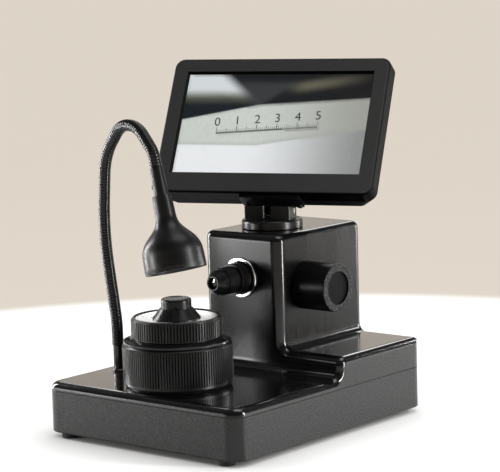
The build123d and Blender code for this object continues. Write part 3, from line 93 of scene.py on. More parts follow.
# %% Sums
def feed(tree, socket, value):
    """Joins an output to an input, or writes a plain value into it."""
    if isinstance(value, bpy.types.NodeSocket):
        tree.links.new(value, socket)
    else:
        socket.default_value = value


def maths(tree, operation, first, second=0.0, third=0.0, clamp=False):
    """One Math node."""
    node = tree.nodes.new("ShaderNodeMath")
    node.operation = operation
    node.use_clamp = clamp
    for socket, value in zip(node.inputs, (first, second, third)):
        feed(tree, socket, value)
    return node.outputs[0]


def vector_maths(tree, operation, first, second=(0, 0, 0), scale=1.0):
    """One Vector Math node; DOT_PRODUCT and LENGTH hand back their number."""
    node = tree.nodes.new("ShaderNodeVectorMath")
    node.operation = operation
    feed(tree, node.inputs[0], first)
    feed(tree, node.inputs[1], second)
    if operation == "SCALE":
        feed(tree, node.inputs["Scale"], scale)
    return node.outputs[1] if operation in ("DOT_PRODUCT", "LENGTH") else node.outputs[0]


def split(tree, vector):
    """The three parts of a vector."""
    node = tree.nodes.new("ShaderNodeSeparateXYZ")
    feed(tree, node.inputs[0], vector)
    return node.outputs[0], node.outputs[1], node.outputs[2]


print("helpers for sums ready")

# %% [markdown]
# Three sums come up again and again: two masks multiplied, which is 1 only where both are; a number
# that grows with a mask; and a mask turned round. With names of their own, they keep materials short.

# %% Sums that come up often
def times(tree, first, second):
    """The product of two numbers; of two masks, where both are 1."""
    return maths(tree, "MULTIPLY", first, second)


def raised(tree, start, mask, amount):
    """A number that starts at one value and grows by an amount as a mask goes from 0 to 1."""
    return maths(tree, "ADD", start, times(tree, mask, amount))


def without(tree, mask):
    """Where a mask isn't 1."""
    return maths(tree, "SUBTRACT", 1.0, mask)


print("helpers for masks ready")

# %% [markdown]
# A pattern needs to know where it is. Object coordinates are metres in the CAD frame here, because the
# solids come with no scale or turn of their own, so every size below can be given in real units, and
# the pattern sticks to its piece when the piece moves.

# %% Patterns and mixes
def place_on(tree, output="Object"):
    """Object coordinates, in metres in the CAD frame, or the normal in the same frame."""
    return tree.nodes.new("ShaderNodeTexCoord").outputs[output]


def noise(tree, vector, scale, detail=2.0, dimensions="3D"):
    """Noise value between 0 and 1."""
    node = tree.nodes.new("ShaderNodeTexNoise")
    node.noise_dimensions = dimensions
    feed(tree, node.inputs["W" if dimensions == "1D" else "Vector"], vector)
    feed(tree, node.inputs["Scale"], scale)
    feed(tree, node.inputs["Detail"], detail)
    return node.outputs[0]


def cells(tree, vector, scale):
    """Distance to the nearest of many scattered points."""
    node = tree.nodes.new("ShaderNodeTexVoronoi")
    feed(tree, node.inputs["Vector"], vector)
    feed(tree, node.inputs["Scale"], scale)
    return node.outputs["Distance"]


def spread(tree, value, low, high):
    """0 at the low end of a range and 1 at the high end, with a smooth step between."""
    node = tree.nodes.new("ShaderNodeMapRange")
    node.interpolation_type = "SMOOTHSTEP"
    for name, number in (("Value", value), ("From Min", low), ("From Max", high)):
        feed(tree, node.inputs[name], number)
    return node.outputs["Result"]


def grey(value):
    """A neutral colour."""
    return (value, value, value, 1.0)


def blend(tree, factor, first, second):
    """Mixes two colours."""
    node = tree.nodes.new("ShaderNodeMix")
    node.data_type = "RGBA"
    feed(tree, node.inputs[0], factor)
    feed(tree, node.inputs[6], first)
    feed(tree, node.inputs[7], second)
    return node.outputs[2]


print("helpers for patterns ready")

# %% [markdown]
# ## Effects that several finishes share
# Moulded plastic, turned metal and glass all have faults in common: fine grain, soft smears from
# fingers, a little dust on what faces up, and tool marks that run round an axis. Each effect is
# built once as a node group with named inputs, and each material places it with its own values.
# The groups hand out values only. The shader itself stays in the material.

# %% Start a node group
NUMBER = "NodeSocketFloat"
POINT = "NodeSocketVector"


def start_group(name, inputs, outputs):
    """A shader node group; inputs are (name, kind, default), outputs are names of numbers."""
    tree = bpy.data.node_groups.new(name, "ShaderNodeTree")
    for title, kind, default in inputs:
        socket = tree.interface.new_socket(title, in_out="INPUT", socket_type=kind)
        socket.default_value = default
    for title in outputs:
        tree.interface.new_socket(title, in_out="OUTPUT", socket_type=NUMBER)
    print("effect:", name)
    return tree, tree.nodes.new("NodeGroupInput").outputs, tree.nodes.new("NodeGroupOutput").inputs


print("helper for effects ready")

# %% [markdown]
# ### Moulded grain
# A mould is etched so that the plastic comes out with a fine pebbled skin. The distance to the nearest
# of many scattered points gives round pebbles, and some finer noise on top roughens them. A slower
# noise makes speckles, because the grain never takes the light evenly.

# %% Moulded grain
moulded_grain, given, result = start_group(
    "moulded_grain", [("Cells per metre", NUMBER, 1400.0)], ["Height", "Speckle"])
tree = moulded_grain
where = place_on(tree)
pebbles = cells(tree, where, given["Cells per metre"])
pebbles_fine = noise(tree, where, times(tree, given["Cells per metre"], 2.1), 2.0)
feed(tree, result["Height"], raised(tree, times(tree, pebbles, 0.65), pebbles_fine, 0.35))
patches = noise(tree, where, times(tree, given["Cells per metre"], 0.45), 3.0)
feed(tree, result["Speckle"], spread(tree, patches, 0.42, 0.66))

# %% [markdown]
# ### Smears
# Fingers leave soft patches that blur a reflection and hardly change the colour, so this mask goes
# into roughness. Noise that is squeezed along one axis adds the streaks of a wiping cloth.

# %% Smears
finger_smears, given, result = start_group(
    "finger_smears", [("Size per metre", NUMBER, 18.0)], ["Mask"])
tree = finger_smears
where = place_on(tree)
broad = noise(tree, where, given["Size per metre"], 4.0)
streaks = noise(tree, vector_maths(tree, "MULTIPLY", where, (1.0, 4.0, 1.0)),
                times(tree, given["Size per metre"], 2.5), 3.0)
feed(tree, result["Mask"], spread(tree, raised(tree, broad, streaks, 0.4), 0.6, 0.85))

# %% [markdown]
# ### Dust
# Dust settles only on what faces up. Small specks come from the scattered points again, kept where a
# slow noise is high, so that they lie in loose drifts. The normal's upward part picks the surfaces.

# %% Dust on what faces up
SPECKS_PER_METRE = 420.0
DRIFTS_PER_METRE = 60.0
settled_dust, given, result = start_group(
    "settled_dust", [("Amount", NUMBER, 0.5)], ["Mask"])
tree = settled_dust
facing_up = spread(tree, split(tree, place_on(tree, "Normal"))[2], 0.75, 0.98)
specks = spread(tree, cells(tree, place_on(tree), SPECKS_PER_METRE), 0.12, 0.05)
sparse = spread(tree, noise(tree, place_on(tree), DRIFTS_PER_METRE, 3.0), 0.52, 0.7)
dusting = times(tree, times(tree, specks, sparse), facing_up)
feed(tree, result["Mask"], maths(tree, "MULTIPLY", dusting, given["Amount"], clamp=True))

# %% [markdown]
# ### Marks of the lathe
# A lathe's tool leaves a fine screw of grooves round the piece's axis. How far a point is from the axis
# and how far along it are enough to draw them: their sum goes through a noise of one dimension, which
# gives rings on a flat face and hoops on a cylinder from one pattern.

# %% Marks of the lathe
HOOP_SHARE = 0.83
BANDS_PER_LINE = 0.12
lathe_marks, given, result = start_group(
    "lathe_marks",
    [("Centre", POINT, (0, 0, 0)), ("Axis", POINT, (0, 0, 1)), ("Lines per metre", NUMBER, 2200.0)],
    ["Height", "Band"])
tree = lathe_marks
from_centre = vector_maths(tree, "SUBTRACT", place_on(tree), given["Centre"])
along = vector_maths(tree, "DOT_PRODUCT", from_centre, given["Axis"])
outward = vector_maths(tree, "SUBTRACT", from_centre,
                       vector_maths(tree, "SCALE", given["Axis"], scale=along))
radius = vector_maths(tree, "LENGTH", outward)
travel = raised(tree, radius, along, HOOP_SHARE)
lines = given["Lines per metre"]
feed(tree, result["Height"], noise(tree, travel, lines, 3.0, "1D"))
feed(tree, result["Band"], noise(tree, travel, times(tree, lines, BANDS_PER_LINE), 2.0, "1D"))

# %% [markdown]
# ### Rounded places
# The cover's flat faces look along the frame's axes, and its rounded edges don't. So the largest part
# of the normal tells them apart with no edge map: near 1 it is a flat face, and less it is a rounding.
# The same normal says which faces are upright.

# %% Rounded places
rounded_places, given, result = start_group(
    "rounded_places", [("Softness", NUMBER, 0.12)], ["Mask", "Upright"])
tree = rounded_places
parts = split(tree, vector_maths(tree, "ABSOLUTE", place_on(tree, "Normal")))
largest = maths(tree, "MAXIMUM", maths(tree, "MAXIMUM", parts[0], parts[1]), parts[2])
feed(tree, result["Mask"], spread(tree, without(tree, largest), 0.004, given["Softness"]))
feed(tree, result["Upright"], spread(tree, parts[2], 0.7, 0.2))

# %% [markdown]
# ## Materials
# Almost everything here is black, so the finish does the work that colour usually does. What tells
# one black piece from the next is how sharp its reflections are, how its grain breaks them up, and
# whether its edges are polished. Each function below makes one finish of the real object.

# %% Start a material
IOR = 1.5


def start_material(name, colour, roughness, metallic=0.0, specular=0.5):
    """A material with a Principled shader; hands back its tree and the shader's inputs."""
    material = bpy.data.materials.new(name)
    material.use_nodes = True
    tree = material.node_tree
    tree.nodes.clear()
    shader = tree.nodes.new("ShaderNodeBsdfPrincipled")
    output = tree.nodes.new("ShaderNodeOutputMaterial")
    tree.links.new(shader.outputs[0], output.inputs["Surface"])
    shader.inputs["Base Color"].default_value = (*colour, 1.0)
    shader.inputs["Roughness"].default_value = roughness
    shader.inputs["Metallic"].default_value = metallic
    shader.inputs["IOR"].default_value = IOR
    shader.inputs["Specular IOR Level"].default_value = specular
    return material, tree, shader.inputs


def use_group(tree, group, **values):
    """Places a shared effect in a material; underscores in a name stand for spaces."""
    node = tree.nodes.new("ShaderNodeGroup")
    node.node_tree = group
    for name, value in values.items():
        feed(tree, node.inputs[name.replace("_", " ")], value)
    return node.outputs


def bump(tree, height, distance, strength=1.0):
    """Turns a height in 0 to 1 into a normal; distance is its depth in metres."""
    node = tree.nodes.new("ShaderNodeBump")
    node.inputs["Strength"].default_value = strength
    node.inputs["Distance"].default_value = distance
    feed(tree, node.inputs["Height"], height)
    return node.outputs[0]


def dress(material, *names):
    """Gives CAD nodes a material by writing it into their material slots."""
    for name in names:
        for material_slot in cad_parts[name].material_slots:
            material_slot.material = material
    print(material.name, "on", ", ".join(names))


print("helpers for materials ready")

# %% [markdown]
# ### The cover
# One moulding makes the deck, the footing and the column. The base's outer sides have a fine pebbled
# grain that hides scratches, and the column is satin. The flat tops are nearly smooth, and so are the
# rounded edges, because hands and tool polish reach them first. One material can do all of it: masks
# from the height, the distance to the middle and the normal say which skin a point has. The gloss of
# the tops is a clear coat, whose weight may change over the surface.

# %% Cover plastic
GRAIN_TOP = 0.0595
BASE_SIDE = 0.09
BASE_END = 0.108
GRAIN_DEPTH = 0.00011
EDGE_COAT = 0.4


def cover_plastic():
    """Pebbled sides, satin column, glossy tops and edges."""
    material, tree, shader = start_material("cover_plastic", (0.004, 0.004, 0.0045), 0.3, specular=0.2)
    grain = use_group(tree, moulded_grain, Cells_per_metre=2000.0)
    smears = use_group(tree, finger_smears, Size_per_metre=14.0)
    rounded = use_group(tree, rounded_places, Softness=0.1)
    dust = use_group(tree, settled_dust, Amount=0.3)
    # which skin
    upright_flat = times(tree, rounded["Upright"], without(tree, rounded["Mask"]))
    on_base = maths(tree, "LESS_THAN", split(tree, place_on(tree))[2], GRAIN_TOP)
    across = split(tree, vector_maths(tree, "ABSOLUTE", place_on(tree)))
    outside = maths(tree, "MAXIMUM", maths(tree, "GREATER_THAN", across[0], BASE_SIDE),
                    maths(tree, "GREATER_THAN", across[1], BASE_END))
    grained = times(tree, upright_flat, times(tree, on_base, outside))
    satin = maths(tree, "SUBTRACT", upright_flat, grained, clamp=True)
    level = spread(tree, split(tree, place_on(tree, "Normal"))[2], 0.6, 0.9)
    # colour, roughness, relief and coat of each
    plain = blend(tree, grained, grey(0.002), grey(0.018))
    speckled = blend(tree, times(tree, grain["Speckle"], grained), plain, grey(0.042))
    feed(tree, shader["Base Color"], blend(tree, dust["Mask"], speckled, grey(0.2)))
    sheen = maths(tree, "ADD", 0.16, raised(tree, times(tree, grained, 0.23), satin, 0.09))
    feed(tree, shader["Roughness"], raised(tree, sheen, smears["Mask"], 0.05))
    relief = times(tree, grain["Height"], grained)
    feed(tree, shader["Normal"], bump(tree, relief, GRAIN_DEPTH, 0.8))
    gloss = times(tree, level, maths(tree, "MULTIPLY_ADD", on_base, 0.65, 0.35))
    polished = times(tree, rounded["Mask"], EDGE_COAT)
    feed(tree, shader["Coat Weight"], maths(tree, "MAXIMUM", gloss, polished))
    shader["Coat Roughness"].default_value = 0.09
    return material


dress(cover_plastic(), "upper_cover", "lower_tray")

# %% [markdown]
# ### Other plastics and rubber
# The back shell, the knob's cap and the inlet are plain mouldings. The lamp's switch and the feet are
# rubber, and the feet have picked up a little pale dust. They share one function, with a grain size
# and depth for each, and the circuit boards borrow it for their lacquer.

# %% Moulded plastics
SPECKLE_GAIN = 1.35


def moulding(name, colour, roughness, cells_per_metre, depth, dusty=0.0, specular=0.3):
    """A grained plastic: colour, sheen, grain size and grain depth in metres."""
    material, tree, shader = start_material(name, colour, roughness, specular=specular)
    grain = use_group(tree, moulded_grain, Cells_per_metre=cells_per_metre)
    smears = use_group(tree, finger_smears, Size_per_metre=22.0)
    dust = use_group(tree, settled_dust, Amount=dusty)
    lighter = tuple(SPECKLE_GAIN * part for part in colour)
    mottled = blend(tree, times(tree, grain["Speckle"], 0.6), (*colour, 1.0), (*lighter, 1.0))
    feed(tree, shader["Base Color"], blend(tree, dust["Mask"], mottled, grey(0.25)))
    feed(tree, shader["Roughness"], raised(tree, roughness, smears["Mask"], 0.05))
    feed(tree, shader["Normal"], bump(tree, grain["Height"], depth, 0.7))
    return material


dress(moulding("shell_plastic", (0.006, 0.006, 0.0065), 0.4, 1800.0, 0.00005, specular=0.01), "back_shell")
dress(moulding("inlet_plastic", (0.02, 0.02, 0.02), 0.5, 2500.0, 0.00002), "power_inlet")
dress(moulding("foot_rubber", (0.022, 0.022, 0.022), 0.8, 1500.0, 0.00008, dusty=0.4), "rubber_feet")
dress(moulding("cap_plastic", (0.003, 0.003, 0.003), 0.3, 2600.0, 0.00003, specular=0.04), "knob_cap")
dress(moulding("board_green", (0.015, 0.13, 0.05), 0.35, 900.0, 0.00003),
      "main_board", "driver_board", "sensor_board")
dress(moulding("board_white", (0.8, 0.8, 0.78), 0.5, 900.0, 0.00003), "led_board")
dress(moulding("switch_rubber", (0.02, 0.02, 0.02), 0.55, 2500.0, 0.00003), "lamp_switch")

# %% [markdown]
# ### The focus knob
# The body is a satin black cylinder. Its ring-shaped end face was left coarse and catches the light
# as a pale, speckled band, so the finish looks at which way the surface faces.

# %% Knob plastic
KNOB_CENTRE = (0.0, 0.0407, 0.1049)
ALONG_KNOB = (1, 0, 0)
KNOB_GRAIN_DEPTH = 0.00008


def knob_plastic():
    """Satin black, with a coarse, paler end face."""
    material, tree, shader = start_material("knob_plastic", (0.003, 0.003, 0.003), 0.3, specular=0.06)
    coarse = use_group(tree, moulded_grain, Cells_per_metre=1500.0)
    turned = use_group(tree, lathe_marks, Centre=KNOB_CENTRE, Axis=ALONG_KNOB, Lines_per_metre=1500.0)
    end_face = spread(tree, split(tree, place_on(tree, "Normal"))[0], 0.55, 0.8)
    band = blend(tree, coarse["Speckle"], grey(0.008), grey(0.05))
    feed(tree, shader["Base Color"], blend(tree, end_face, grey(0.004), band))
    feed(tree, shader["Roughness"], raised(tree, 0.3, end_face, 0.25))
    relief = raised(tree, times(tree, coarse["Height"], end_face), turned["Height"], 0.25)
    feed(tree, shader["Normal"], bump(tree, relief, KNOB_GRAIN_DEPTH, 0.8))
    return material


dress(knob_plastic(), "focus_knob")

# %% [markdown]
# ### Black anodised and polished metal
# The stage rings, the collar and the objective's barrels were turned on a lathe and then anodised
# black. Turning leaves fine rings round the axis, which stretch every highlight along them. The
# function takes the axis of its piece, so the rings run the right way on each one. The polished
# pieces get a thin clear coat on top.

# %% Turned black metal
STAGE_CENTRE = (0.0, -0.067, 0.0)
SWIVEL_CENTRE = (0.0, 0.0475, 0.0)
OPTICAL_CENTRE = (0.0, 0.0, 0.1121)
ARM_FOOT = Vector((-0.074, -0.0531, 0.0))
UP = (0, 0, 1)
ALONG_BASE = (0, 1, 0)
TURNED_DEPTH = 0.00002


def turned_black(name, centre, axis, roughness, lines, tint=0.003, shine=0.0, specular=0.22):
    """Anodised aluminium: rings round an axis, with bands of slightly different sheen."""
    material, tree, shader = start_material(name, (tint, tint, tint), roughness, specular=specular)
    marks = use_group(tree, lathe_marks, Centre=centre, Axis=axis, Lines_per_metre=lines)
    smears = use_group(tree, finger_smears, Size_per_metre=40.0)
    dust = use_group(tree, settled_dust, Amount=0.2)
    worn = blend(tree, marks["Band"], grey(tint), grey(1.7 * tint))
    feed(tree, shader["Base Color"], blend(tree, dust["Mask"], worn, grey(0.2)))
    sheen = raised(tree, roughness, marks["Band"], 0.08)
    feed(tree, shader["Roughness"], raised(tree, sheen, smears["Mask"], 0.04))
    feed(tree, shader["Normal"], bump(tree, marks["Height"], TURNED_DEPTH, 0.5))
    shader["Coat Weight"].default_value = shine
    shader["Coat Roughness"].default_value = 0.08
    return material


dress(turned_black("stage_ring_black", STAGE_CENTRE, UP, 0.26, 2600.0), "lift_ring", "turn_ring")
dress(turned_black("stage_flange_black", STAGE_CENTRE, UP, 0.16, 2000.0, shine=0.3), "lift_sleeve")
dress(turned_black("holder_black", STAGE_CENTRE, UP, 0.24, 3200.0), "specimen_holder", "holder_clips")
dress(turned_black("cup_black", STAGE_CENTRE, UP, 0.2, 3000.0, tint=0.002), "specimen_cup")
dress(turned_black("collar_black", SWIVEL_CENTRE, UP, 0.22, 2600.0), "swivel_collar", "swivel_post")
dress(turned_black("barrel_black", OPTICAL_CENTRE, ALONG_BASE, 0.24, 2600.0), "focus_barrel", "rear_sleeve")
dress(turned_black("nose_black", OPTICAL_CENTRE, ALONG_BASE, 0.2, 3000.0), "objective_nose")
dress(turned_black("stem_black", tuple(ARM_FOOT), UP, 0.12, 2400.0, tint=0.006, shine=0.4), "arm_stem")

# %% [markdown]
# ### Bright metal
# The stage plate is bare aluminium, faced on the lathe so that light fans out from its centre. The
# ring round the objective is chromed. Inside, shafts, rods and clips are steel, frames are aluminium,
# gears are brass and screws are blackened. A metal has no colour under its reflections, so its base
# colour is the tint of what it mirrors, and its tool marks are a darker tint.

# %% Bare and plated metal
MARK_TINT = 0.86
FACED_DEPTH = 0.000012


def bright_metal(name, colour, roughness, centre, axis, lines):
    """Bare metal with tool marks round an axis."""
    material, tree, shader = start_material(name, colour, roughness, metallic=1.0)
    marks = use_group(tree, lathe_marks, Centre=centre, Axis=axis, Lines_per_metre=lines)
    smears = use_group(tree, finger_smears, Size_per_metre=60.0)
    darker = tuple(MARK_TINT * part for part in colour)
    feed(tree, shader["Base Color"], blend(tree, marks["Band"], (*colour, 1.0), (*darker, 1.0)))
    sheen = raised(tree, roughness, smears["Mask"], 0.08)
    feed(tree, shader["Roughness"], raised(tree, sheen, marks["Band"], 0.06))
    feed(tree, shader["Normal"], bump(tree, marks["Height"], FACED_DEPTH, 0.6))
    return material


dress(bright_metal("plate_aluminium", (0.86, 0.86, 0.87), 0.24, STAGE_CENTRE, UP, 1800.0), "stage_plate")
dress(bright_metal("ring_chrome", (0.9, 0.9, 0.91), 0.09, OPTICAL_CENTRE, ALONG_BASE, 900.0), "escutcheon")
dress(bright_metal("plain_steel", (0.55, 0.55, 0.56), 0.3, STAGE_CENTRE, UP, 900.0),
      "guide_rods", "focus_shaft", "shaft_clip", "spindle_clip", "lift_key", "swivel_washer", "swivel_nut",
      "tilt_pin", "arm_nut")
dress(bright_metal("frame_aluminium", (0.78, 0.78, 0.79), 0.35, STAGE_CENTRE, UP, 900.0),
      "stage_guide", "carriage", "focus_frame")
dress(bright_metal("gear_brass", (0.78, 0.58, 0.27), 0.28, KNOB_CENTRE, ALONG_KNOB, 900.0),
      "shaft_bush", "focus_pinion", "focus_rack")
dress(bright_metal("screw_black", (0.07, 0.07, 0.07), 0.35, STAGE_CENTRE, UP, 900.0),
      "case_screws", "guide_screws", "frame_screws", "screen_screws", "bracket_screws", "board_screws")

# %% [markdown]
# ### Where the lamp is
# The arm leans from its foot towards the stage's middle, and the lamp hangs from its end and leans
# further the same way. A few sizes of the CAD model give the lamp's axis, which its tool marks, the
# lights behind its lens and the gooseneck's line all need.

# %% Lamp places
ARM_REACH = 0.0566
NECK_END_HEIGHT = 0.2033
LAMP_LEAN = radians(15.0)
arm_direction = (Vector(STAGE_CENTRE) - ARM_FOOT).normalized()
across_arm = arm_direction.cross(Vector(UP))
lamp_top = ARM_FOOT + ARM_REACH * arm_direction + Vector((0, 0, NECK_END_HEIGHT))
lamp_direction = arm_direction * sin(LAMP_LEAN) - Vector((0, 0, cos(LAMP_LEAN)))
print("lamp axis from", [round(v, 4) for v in lamp_top], "along", [round(v, 3) for v in lamp_direction])

# %% [markdown]
# ### Lamp
# The bell and ferrule are spun metal under satin black paint, with tool marks that lean with their
# axis. The lens is a milky disc that glows, brighter where each light sits behind it. Eight lights in
# a ring need no eight patterns: the angle is folded until only one wedge is left, and one light is
# drawn in it.

# %% Lamp finishes
LIGHT_COUNT = 8
LIGHT_RING = 0.012
LIGHT_GLOW = 0.0045
LENS_STRENGTH = 1.6
FROST_DEPTH = 0.00004


def glowing_lens():
    """A milky disc with a ring of lights and one in the middle behind it."""
    material, tree, shader = start_material("lamp_diffuser", (0.9, 0.9, 0.88), 0.35)
    from_top = vector_maths(tree, "SUBTRACT", place_on(tree), tuple(lamp_top))
    u = vector_maths(tree, "DOT_PRODUCT", from_top, tuple(across_arm))
    v = vector_maths(tree, "DOT_PRODUCT", from_top, tuple(across_arm.cross(lamp_direction)))

    def distance(first, second):
        squares = maths(tree, "ADD", times(tree, first, first), times(tree, second, second))
        return maths(tree, "SQRT", squares)

    radius = distance(u, v)
    wedge = 2 * pi / LIGHT_COUNT
    turned = maths(tree, "ADD", maths(tree, "ARCTAN2", v, u), wedge / 2)
    within = maths(tree, "SUBTRACT", maths(tree, "FLOORED_MODULO", turned, wedge), wedge / 2)
    sideways = times(tree, radius, maths(tree, "SINE", within))
    forwards = times(tree, radius, maths(tree, "COSINE", within))
    outward = maths(tree, "SUBTRACT", forwards, LIGHT_RING)
    nearest = maths(tree, "MINIMUM", distance(sideways, outward), radius)
    glow = spread(tree, nearest, LIGHT_GLOW, 0.0)
    frost = use_group(tree, moulded_grain, Cells_per_metre=1200.0)
    feed(tree, shader["Emission Color"], blend(tree, glow, (0.92, 0.93, 0.95, 1.0), (1.0, 1.0, 1.0, 1.0)))
    feed(tree, shader["Normal"], bump(tree, frost["Height"], FROST_DEPTH, 0.5))
    shader["Emission Strength"].default_value = LENS_STRENGTH
    return material


spun = {"centre": tuple(lamp_top), "axis": tuple(lamp_direction), "roughness": 0.3}
dress(turned_black("lamp_black", **spun, lines=1500.0), "lamp_bell", "lamp_ferrule")
dress(turned_black("lens_ring_black", **spun, lines=2000.0), "lens_ring")
dress(glowing_lens(), "lamp_lens")
dress(moulding("bracket_paint", (0.003, 0.003, 0.0035), 0.38, 2200.0, 0.00004, specular=0.1), "tilt_bracket")

# %% [markdown]
# ### Glass
# The two lenses are coated, so they send little light back, which a low specular level gives. Their
# deep violet tint is partly the coating's colour and partly painted shade: it darkens the lenses because
# the tube behind them is dark. The display's cover glass is clear and very smooth.

# %% Glass
def clear_glass(name, colour, roughness, specular=0.5):
    """Clear glass; the smears change only how sharp it is."""
    material, tree, shader = start_material(name, colour, roughness, specular=specular)
    shader["Transmission Weight"].default_value = 1.0
    smears = use_group(tree, finger_smears, Size_per_metre=50.0)
    feed(tree, shader["Roughness"], raised(tree, roughness, smears["Mask"], 0.02))
    return material


# The dark violet tint is the coating's colour plus painted shade for the dark tube behind the lenses.
dress(clear_glass("lens_glass", (0.10, 0.09, 0.14), 0.02, specular=0.1), "front_lens", "rear_lens")
dress(clear_glass("cover_glass", (1.0, 1.0, 1.0), 0.0), "screen_glass")

# %% [markdown]
# ## The screen
# The screen is turned a little to the right on its post and leans back. Its finishes and its picture
# are drawn along its own three directions, which follow from the two angles: to the right, up, and
# outward from the glass. The panel's box in the frame gives its middle.

# %% The display's directions
SCREEN_YAW = radians(19.17)
SCREEN_TILT = radians(31.13)
DISPLAY_WIDTH = 0.15408
DISPLAY_HEIGHT = 0.08592
PANEL_THICKNESS = 0.0034
screen_right = Vector((cos(SCREEN_YAW), sin(SCREEN_YAW), 0))
screen_normal = Vector((sin(SCREEN_YAW) * cos(SCREEN_TILT), -cos(SCREEN_YAW) * cos(SCREEN_TILT),
                        sin(SCREEN_TILT)))
screen_up = screen_normal.cross(screen_right)
panel_low, panel_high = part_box("lcd_panel")
panel_centre = (panel_low + panel_high) / 2
print("panel centre", [round(v, 4) for v in panel_centre])

# %% [markdown]
# ### The bezel
# The bezel's front is finely textured, so it looks softer and greyer than the rest of the plastic, and
# its rim runs out into a smooth, darker edge that is glossiest underneath. Underneath, the edge's colour
# is made darker still, which is painted shade. The finishes are one material that looks at which way
# the surface faces, measured against the display's directions.

# %% Bezel plastic
BEZEL_GRAIN_DEPTH = 0.00003


def bezel_plastic():
    """Textured in front, smooth and dark on the edges, with painted shade where they face down."""
    material, tree, shader = start_material("bezel_plastic", (0.02, 0.02, 0.021), 0.45, specular=0.01)
    grain = use_group(tree, moulded_grain, Cells_per_metre=2400.0)
    smears = use_group(tree, finger_smears, Size_per_metre=22.0)
    facing = place_on(tree, "Normal")
    front = spread(tree, vector_maths(tree, "DOT_PRODUCT", facing, tuple(screen_normal)), 0.7, 0.97)
    underside_shade_and_gloss = spread(tree, vector_maths(tree, "DOT_PRODUCT", facing, tuple(screen_up)), -0.45, -0.85)
    # Edges that face down get a darker colour, which is painted shade; the same mask also makes them
    # glossier.
    edge = blend(tree, underside_shade_and_gloss, grey(0.007), grey(0.001))
    textured = blend(tree, times(tree, grain["Speckle"], 0.5), grey(0.033), grey(0.044))
    feed(tree, shader["Base Color"], blend(tree, front, edge, textured))
    softness = raised(tree, maths(tree, "MULTIPLY_ADD", front, 0.14, 0.34), underside_shade_and_gloss, -0.24)
    feed(tree, shader["Roughness"], raised(tree, softness, smears["Mask"], 0.05))
    relief = times(tree, grain["Height"], front)
    feed(tree, shader["Normal"], bump(tree, relief, BEZEL_GRAIN_DEPTH, 0.7))
    return material


dress(bezel_plastic(), "front_bezel")

# %% [markdown]
# ### The picture on the screen
# The screen shows what the objective sees: the girdle of a cut stone, a pale ground band between two
# facets, with the dark, out-of-focus crown above it, and a measuring scale laid over the band. It is
# drawn in the panel's own plane, where u runs from 0 to 1 to the right and t from 0 to 1 downwards.
# Straight lines in u and t make the facets, and a smooth step across each line sets how sharp it is.
# An image file could do the same, but a picture made of nodes stays sharp from any distance.

# %% Drawing on the display
def display_place(tree):
    """Where a point lies on the display, as u and t."""
    from_middle = vector_maths(tree, "SUBTRACT", place_on(tree), tuple(panel_centre))
    rightwards = vector_maths(tree, "DOT_PRODUCT", from_middle, tuple(screen_right))
    upwards = vector_maths(tree, "DOT_PRODUCT", from_middle, tuple(screen_up))
    u = maths(tree, "ADD", maths(tree, "DIVIDE", rightwards, DISPLAY_WIDTH), 0.5)
    t = maths(tree, "SUBTRACT", 0.5, maths(tree, "DIVIDE", upwards, DISPLAY_HEIGHT))
    return u, t


def beyond(tree, value, edge, softness):
    """0 before an edge and 1 beyond it, with a soft step between."""
    return spread(tree, maths(tree, "SUBTRACT", value, edge), -softness, softness)


def between(tree, value, low, high):
    """1 between two limits, with hard edges."""
    return times(tree, maths(tree, "GREATER_THAN", value, low), maths(tree, "LESS_THAN", value, high))


print("drawing helpers ready")

# %% [markdown]
# The crown lies out of focus, so its facets have wide, soft edges: a grey one between two slanting
# lines, a pale one to the left of them and a pale streak on the right.

# %% The dark crown
def crown_picture(tree, u, t):
    """The crown's facets above the girdle."""
    left_arm = raised(tree, 0.20, t, 0.62)
    right_arm = raised(tree, 0.66, t, -0.80)
    middle = times(tree, beyond(tree, u, left_arm, 0.035), without(tree, beyond(tree, u, right_arm, 0.03)))
    crown = blend(tree, u, (0.003, 0.006, 0.011, 1.0), (0.0012, 0.0008, 0.0006, 1.0))
    grey_facet = times(tree, middle, spread(tree, t, 0.03, 0.12))
    crown = blend(tree, grey_facet, crown, (0.033, 0.035, 0.037, 1.0))
    streak_top = beyond(tree, t, raised(tree, 0.26, u, -0.27), 0.06)
    streak_foot = beyond(tree, t, raised(tree, 0.31, u, -0.27), 0.07)
    streak_ends = times(tree, spread(tree, u, 0.52, 0.66), spread(tree, u, 1.05, 0.66))
    streak = times(tree, times(tree, streak_top, without(tree, streak_foot)), streak_ends)
    crown = blend(tree, streak, crown, (0.20, 0.19, 0.13, 1.0))
    pale = times(tree, without(tree, beyond(tree, u, left_arm, 0.05)), spread(tree, t, 0.33, 0.12))
    pale_tone = blend(tree, spread(tree, t, 0.14, 0.26), (0.66, 0.70, 0.71, 1.0), (0.20, 0.215, 0.15, 1.0))
    return blend(tree, pale, crown, pale_tone)


print("crown ready")

# %% [markdown]
# The girdle is in focus. Its ground band is faintly mottled and the polished facet below it is faintly
# scratched. Each edge of the band is bent, and the higher or lower of two straight lines gives that.

